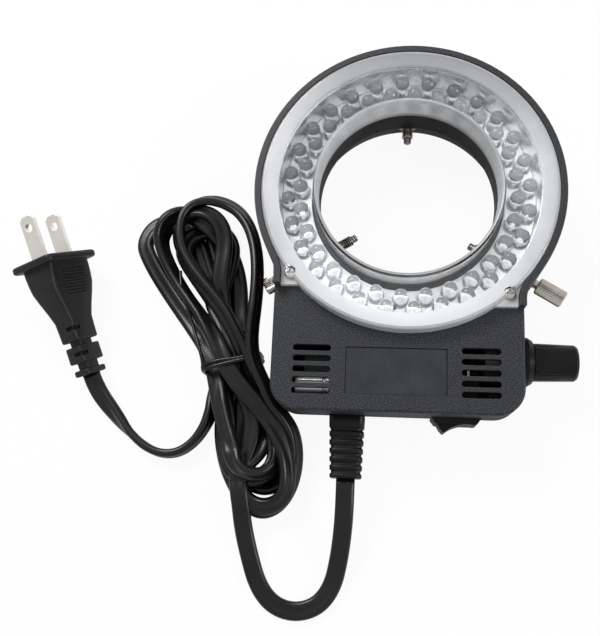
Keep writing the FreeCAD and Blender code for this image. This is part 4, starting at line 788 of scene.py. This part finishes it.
# %% Smooth mouldings and soft PVC
def moulding(name, deep, light, rough, grain_size, grain_depth, radius=0.3, specular=0.5, wear_and_sheen=0.12):
    """A plastic of two shades, with grain in mm, brighter edges (partly handling wear, partly painted highlight) and a
    little dust.
    """
    material, tree, shader = new_finish(name, Specular_IOR_Level=specular)
    texture = use_group(tree, grain, Grain=grain_size)
    edge = use_group(tree, edges, Radius=radius)
    touch = use_group(tree, handling, Patch=7.0)
    wear_and_sheen_colour = tuple(7.0 * c for c in light)
    colour = blend_colours(tree, touch.outputs["Gloss"], deep, light)
    # brighter edges: partly handling wear, partly painted highlight
    colour = blend_colours(tree, times(tree, edge.outputs["Edge"], wear_and_sheen), colour, wear_and_sheen_colour)
    colour = blend_colours(tree, times(tree, touch.outputs["Dust"], 0.12), colour, (0.30, 0.29, 0.28))
    tree.links.new(colour, shader.inputs["Base Color"])
    vary_gloss(tree, shader, touch, rough - 0.05, rough + 0.07)
    bump_into(tree, shader, texture.outputs["Height"], grain_depth, 0.00005, edge.outputs["Normal"])
    return material


knob_black = moulding("knob_black", (0.003, 0.0032, 0.0038), (0.005, 0.0053, 0.006), rough=0.30, grain_size=0.5,
                      grain_depth=0.15, radius=0.08, specular=0.17, wear_and_sheen=1.0)
switch_black = moulding("switch_black", (0.005, 0.005, 0.006), (0.009, 0.009, 0.010), rough=0.42, grain_size=0.5,
                        grain_depth=0.15, specular=0.12)
relief_black = moulding("strain_relief_pvc", (0.003, 0.0032, 0.0038), (0.006, 0.0063, 0.007), rough=0.38,
                        grain_size=0.4, grain_depth=0.35, radius=0.5, specular=0.22)
plug_black = moulding("plug_pvc", (0.007, 0.007, 0.008), (0.012, 0.012, 0.013), rough=0.44, grain_size=0.35,
                      grain_depth=0.35, radius=0.6, specular=0.3, wear_and_sheen=0.05)
dress(knob_black, "dimmer_knob")
dress(switch_black, "switch_body", "rocker")
put_on(relief_black, relief)
put_on(plug_black, plug)

# %% Cord
cord_black, tree, shader = new_finish("cord_pvc", Specular_IOR_Level=0.32, Coat_Roughness=0.2)
texture = use_group(tree, grain, Grain=0.6)
touch = use_group(tree, handling, Patch=16.0)
colour = blend_colours(tree, touch.outputs["Gloss"], (0.0035, 0.0038, 0.0038), (0.006, 0.0063, 0.0065))
colour = blend_colours(tree, times(tree, touch.outputs["Dust"], 0.10), colour, (0.22, 0.22, 0.22))
tree.links.new(colour, shader.inputs["Base Color"])
vary_gloss(tree, shader, touch, 0.26, 0.36)
tree.links.new(times(tree, touch.outputs["Gloss"], 0.12), shader.inputs["Coat Weight"])
bump_into(tree, shader, texture.outputs["Height"], 0.2, 0.00006)
put_on(cord_black, cord)
print(cord_black.name, "on", cord.name)

# %% [markdown]
# ## Metals
# The small screws are nickel-plated steel, warm grey with hairlines. The reflector is bright
# aluminium with a satin face. The threaded sleeves and the switch's tags are brass. A plain grey
# with high gloss would look like paint, so all follow one recipe: a true metal whose gloss is
# broken by scratches. The thumbscrews get a finish of their own, in the next step.

# %% Plated and bare metals
# painted shade: the dark colour that the metals' edges and grooves are mixed towards
PAINTED_EDGE_SHADE = (0.10, 0.095, 0.085)


def metal(name, deep, light, rough, radius=0.15, edge_shade=0.0):
    material, tree, shader = new_finish(name, Metallic=1.0)
    lines = use_group(tree, hairlines, Size=1.2)
    edge = use_group(tree, edges, Radius=radius)
    touch = use_group(tree, handling, Patch=5.0)
    colour = blend_colours(tree, touch.outputs["Gloss"], deep, light)
    # painted shade along edges and in grooves
    colour = blend_colours(tree, times(tree, edge.outputs["Edge"], edge_shade), colour, PAINTED_EDGE_SHADE)
    tree.links.new(colour, shader.inputs["Base Color"])
    tree.links.new(between(tree, lines.outputs["Dullness"], 0.0, 1.0, rough, rough + 0.16), shader.inputs["Roughness"])
    bump_into(tree, shader, lines.outputs["Height"], 0.1, 0.00004, edge.outputs["Normal"])
    return material


dress(metal("screw_plate", (0.50, 0.49, 0.46), (0.64, 0.63, 0.61), 0.26, radius=0.10, edge_shade=1.0),
      "cover_screws", "back_screws", "pot_nut", "pot_shaft")
dress(metal("blade_plate", (0.86, 0.83, 0.76), (0.92, 0.90, 0.84), 0.24), "plug_blades")
dress(metal("brass", (0.62, 0.46, 0.22), (0.70, 0.54, 0.28), 0.28), "thread_sleeves", "switch_terminals")
dress(metal("can_sleeve", (0.90, 0.90, 0.92), (0.96, 0.96, 0.97), 0.30), "capacitor")
dress(metal("reflector_bright", (0.78, 0.79, 0.80), (0.90, 0.90, 0.91), 0.24), "reflector")

# %% [markdown]
# ## Threads
# The thumbscrews' shafts have a fine thread. Cut as a helix it would cost many thousand faces,
# so the solids carry it as plain turned rings, and the grooves are drawn over them here as a bump
# and as painted shade. All three shafts point at the ring's axis, and that makes the grooves a wave
# along the distance from it. The screws' edges get painted shade as well.

# %% Nickel with a thread
THREAD_PITCH = 0.0008
SHAFT_FROM, SHAFT_FULL = 0.0400, 0.0398
threaded, tree, shader = new_finish("threaded_nickel", Metallic=1.0)
at, from_axis = axis_distance(tree)
wave = arithmetic(tree, "SINE", times(tree, from_axis, math.tau / THREAD_PITCH))
wave = arithmetic(tree, "MULTIPLY_ADD", wave, 0.5, 0.5)
shaft = between(tree, from_axis, SHAFT_FROM, SHAFT_FULL)
groove = times(tree, rest_of(tree, wave), shaft)
edge = use_group(tree, edges, Radius=0.08)
touch = use_group(tree, handling, Patch=5.0)
colour = blend_colours(tree, touch.outputs["Gloss"], (0.62, 0.58, 0.52), (0.76, 0.73, 0.67))
# painted shade along the screws' edges
colour = blend_colours(tree, times(tree, edge.outputs["Edge"], 0.85), colour, PAINTED_EDGE_SHADE)
# painted shade in the thread's grooves
colour = blend_colours(tree, times(tree, groove, 0.9), colour, (0.06, 0.055, 0.05))
tree.links.new(colour, shader.inputs["Base Color"])
vary_gloss(tree, shader, touch, 0.22, 0.34)
bump_into(tree, shader, times(tree, wave, shaft), 0.8, 0.00025, edge.outputs["Normal"])
dress(threaded, "thumbscrew_top", "thumbscrew_left", "thumbscrew_right")

# %% [markdown]
# ## Board, plate and what is inside
# The LEDs stand on a white board, and the name plate is a glossy, very dark blue. The driver's
# board, the coil's yellow tape, the film capacitor and the wires only show through the slots.
# They follow the recipe of the mouldings, because each is a coated or moulded surface.

# %% Board, plate and inner parts
dress(moulding("led_board_white", (0.72, 0.73, 0.74), (0.80, 0.81, 0.82), rough=0.45, grain_size=0.6,
               grain_depth=0.1), "led_board")
dress(moulding("name_plate_gloss", (0.016, 0.018, 0.022), (0.026, 0.029, 0.036), rough=0.12, grain_size=1.0,
               grain_depth=0.04, radius=0.15), "label_plate")
dress(moulding("driver_board_green", (0.012, 0.05, 0.03), (0.018, 0.07, 0.04), rough=0.35, grain_size=0.8,
               grain_depth=0.2), "driver_board")
dress(moulding("coil_tape", (0.55, 0.40, 0.06), (0.62, 0.46, 0.09), rough=0.35, grain_size=1.2,
               grain_depth=0.2), "transformer")
dress(moulding("film_capacitor_red", (0.32, 0.05, 0.03), (0.38, 0.07, 0.04), rough=0.25, grain_size=0.8,
               grain_depth=0.1), "film_capacitor")
dress(moulding("wire_insulation", (0.05, 0.02, 0.02), (0.07, 0.03, 0.03), rough=0.35, grain_size=0.5,
               grain_depth=0.1), "led_wires", "pot_wires", "mains_wires")
dress(moulding("dimmer_body", (0.05, 0.05, 0.055), (0.07, 0.07, 0.075), rough=0.4, grain_size=0.5,
               grain_depth=0.2), "pot_body")

# %% [markdown]
# ## Clear parts
# The LEDs are clear epoxy with a domed lens, and the cover over them is clear plastic. Both keep
# a plain Transmission Weight, so that they can be told apart as glass anywhere. Real clear plastic
# lets light through to what lies under it, but the renderer would give it a full shadow. So for
# shadow rays alone the surface is mostly taken away.

# %% A clear or milky plastic
def see_through(name, patch, shiny, dull, let_in, soft_edge=False, **values):
    """Gives the material, its tree and shader, and the mask of its handling."""
    material, tree, shader = new_finish(name, **values)
    touch = use_group(tree, handling, Patch=patch)
    vary_gloss(tree, shader, touch, shiny, dull)
    if soft_edge:
        tree.links.new(use_group(tree, edges, Radius=0.3).outputs["Normal"], shader.inputs["Normal"])
    shadow = wire_up(tree, "ShaderNodeLightPath").outputs["Is Shadow Ray"]
    tree.links.new(arithmetic(tree, "MULTIPLY_ADD", shadow, -let_in, 1.0), shader.inputs["Alpha"])
    return material, tree, shader, touch.outputs["Gloss"]


# %% LEDs
epoxy = see_through("led_epoxy", 3.0, 0.02, 0.07, let_in=0.9, Transmission_Weight=0.96, IOR=1.52,
                    Base_Color=(0.97, 0.98, 1.0))[0]
dress(epoxy, "leds_outer", "leds_inner")
cup_silver = moulding("led_cup_silver", (0.80, 0.81, 0.82), (0.90, 0.90, 0.90), rough=0.25, grain_size=0.5,
                      grain_depth=0.05)
chip_yellow = moulding("led_chip_yellow", (0.75, 0.74, 0.36), (0.82, 0.80, 0.42), rough=0.4, grain_size=0.5,
                       grain_depth=0.05)
for finish in (cup_silver, chip_yellow):
    cups.data.materials.append(finish)
print("finishes in the cups", len(cups.data.materials))

# %% Window, frosted flange and skirt
window, tree, shader, _ = see_through("clear_cover_plastic", 18.0, 0.02, 0.06, let_in=0.9, soft_edge=True,
                                      Transmission_Weight=1.0, IOR=1.49, Base_Color=(0.97, 0.98, 0.985))
frosted, tree, shader, touched = see_through("frosted_cover_plastic", 12.0, 0.28, 0.36, let_in=0.5, soft_edge=True,
                                             Transmission_Weight=0.3, IOR=1.49)
far_out = wire_up(tree, "ShaderNodeSeparateXYZ", {0: own_place(tree)}).outputs[1]
milk = blend_colours(tree, touched, (0.60, 0.61, 0.63), (0.70, 0.71, 0.73))
# painted shade and painted light: the flange is darker towards +y and lighter towards -y
milk = blend_colours(tree, between(tree, far_out, 0.010, 0.046), milk, (0.36, 0.365, 0.375))
milk = blend_colours(tree, between(tree, far_out, -0.028, -0.048), milk, (0.82, 0.83, 0.84))
tree.links.new(milk, shader.inputs["Base Color"])
skirt, tree, shader, touched = see_through("cover_skirt_plastic", 12.0, 0.10, 0.18, let_in=0.6,
                                           Transmission_Weight=0.5, IOR=1.49)
tree.links.new(blend_colours(tree, touched, (0.62, 0.63, 0.64), (0.74, 0.75, 0.76)), shader.inputs["Base Color"])
for number, finish in ((CLEAR, window), (FROSTED, frosted), (SKIRT, skirt)):
    cover.data.materials[number] = finish
print("finishes", len(bpy.data.materials))

# %% [markdown]
# ## The tie
# The hank is held by a wire tie: a thin wire in black plastic, twice round the waist, with a loose
# end that stands off at the left. A wire has the same round section everywhere, so it needs no
# sweep of its own: it is a curve with a round bevel.

# %% The tie round the hank's waist
WAIST_LEFT, WAIST_RIGHT = (-69.3, -60.9), (-49.6, -55.7)
TIE_R, WIRE_END_R = 0.75, 0.65
# each point of a turn: its share of the way from left to right, and its height
TURN = [(0.0, 2.2), (0.0, 7.0), (0.0, 12.2), (0.12, 14.0), (0.35, 14.6), (0.65, 14.6), (0.90, 14.0), (1.0, 12.0),
        (1.0, 7.0), (1.0, 2.2), (0.85, 0.85), (0.5, 0.85), (0.15, 0.85)]
WIRE_END = [(-69.2, -61.0, 12.2), (-69.0, -58.5, 13.0), (-70.9, -53.2, 12.6), (-73.3, -47.0, 11.4),
            (-75.5, -41.2, 11.0), (-77.7, -35.8, 11.4), (-79.8, -30.0, 10.8), (-80.6, -24.6, 9.5)]


def round_wire(name, points, radius, closed=False):
    data = nurbs_curve(name, points, closed)
    data.bevel_depth = radius * MM
    data.bevel_resolution = 4
    data.use_fill_caps = True
    return into_scene(name, data)


def along_waist(share, z, aside=0.0):
    run_x, run_y = WAIST_RIGHT[0] - WAIST_LEFT[0], WAIST_RIGHT[1] - WAIST_LEFT[1]
    reach = math.hypot(run_x, run_y)
    return place(WAIST_LEFT[0] + run_x * share - run_y / reach * aside,
                 WAIST_LEFT[1] + run_y * share + run_x / reach * aside, z)


def beside_first_turn(share):
    return 1.2 + 0.5 * math.sin(7 * share)


turn_one = round_wire("wire_tie", [along_waist(share, z) for share, z in TURN], TIE_R, closed=True)
turn_two = round_wire("wire_tie_second_turn", [along_waist(share, z, beside_first_turn(share)) for share, z in TURN],
                      TIE_R, closed=True)
loose_end = round_wire("wire_tie_end", [place(*p) for p in WIRE_END], WIRE_END_R)
for piece in (turn_one, turn_two, loose_end):
    put_on(cord_black, piece)
    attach(piece, "housing")
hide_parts("twist_tie")
print("tie in 3 pieces, round a waist of", round(math.dist(WAIST_LEFT, WAIST_RIGHT), 1), "mm")

# %% [markdown]
# ## Floor and light
# A plain white floor, lit softly from above. More light would make the floor white, but the pale
# plastics with it. So the floor and the world only look white to the camera and in reflections,
# and the lamps stay at a level at which colours come out as they are written.

# %% Floor
FLOOR_REACH = 3.0
FLOOR_SEEN, FLOOR_MIRRORED = 0.93, 0.20
WHITE = (1.0, 1.0, 1.0, 1.0)


def seen_straight(tree):
    """Is 1 for what the camera sees, also through clear parts; and for mirrored rays."""
    path = wire_up(tree, "ShaderNodeLightPath")
    straight = arithmetic(tree, "MAXIMUM", path.outputs["Is Camera Ray"], path.outputs["Is Transmission Ray"])
    return straight, path.outputs["Is Glossy Ray"]


floor_mesh = bpy.data.meshes.new("floor")
floor_mesh.from_pydata([(x * FLOOR_REACH, y * FLOOR_REACH, TABLE_Z) for x, y in ((-1, -1), (1, -1), (1, 1), (-1, 1))],
                       [], [(0, 1, 2, 3)])
floor = into_scene("floor", floor_mesh)
floor_white = bpy.data.materials.new("floor_white")
floor_white.use_nodes = True
tree = floor_white.node_tree
tree.nodes.clear()
paper = wire_up(tree, "ShaderNodeBsdfDiffuse", {"Color": (0.86, 0.86, 0.86, 1.0)})
bright = wire_up(tree, "ShaderNodeEmission", {"Color": WHITE, "Strength": 1.0})
straight, mirrored = seen_straight(tree)
share = arithmetic(tree, "MULTIPLY_ADD", mirrored, FLOOR_MIRRORED, times(tree, straight, FLOOR_SEEN))
mixed = wire_up(tree, "ShaderNodeMixShader", {0: share, 1: paper.outputs[0], 2: bright.outputs[0]})
wire_up(tree, "ShaderNodeOutputMaterial", {"Surface": mixed.outputs[0]})
put_on(floor_white, floor)
print("floor", 2 * FLOOR_REACH, "m wide")

# %% World
WORLD_PLAIN, WORLD_SEEN, WORLD_MIRRORED = 0.40, 0.60, 0.25
world = bpy.data.worlds.new("studio")
bpy.context.scene.world = world
world.use_nodes = True
tree = world.node_tree
tree.nodes.clear()
straight, mirrored = seen_straight(tree)
strength = arithmetic(tree, "MULTIPLY_ADD", straight, WORLD_SEEN, WORLD_PLAIN)
strength = arithmetic(tree, "MULTIPLY_ADD", mirrored, WORLD_MIRRORED, strength)
sky = wire_up(tree, "ShaderNodeBackground", {"Color": WHITE, "Strength": strength})
wire_up(tree, "ShaderNodeOutputWorld", {"Surface": sky.outputs[0]})
print("world", world.name)


# %% Lamps
def soft_lamp(name, at, towards, size, power):
    data = bpy.data.lights.new(name, "AREA")
    data.shape = "RECTANGLE"
    data.size, data.size_y = size
    data.energy = power
    lamp = into_scene(name, data)
    lamp.location = at
    lamp.rotation_mode = "QUATERNION"
    lamp.rotation_quaternion = (Vector(towards) - Vector(at)).to_track_quat("-Z", "Y")
    print(name, power, "W")


soft_lamp("key", (-0.45, 0.55, 0.75), (-0.02, -0.02, 0.0), (0.55, 0.35), 8.5)
soft_lamp("fill", (0.75, -0.15, 0.55), (0.0, -0.02, 0.0), (0.35, 0.45), 3.8)
bpy.context.scene.view_settings.view_transform = "Standard"
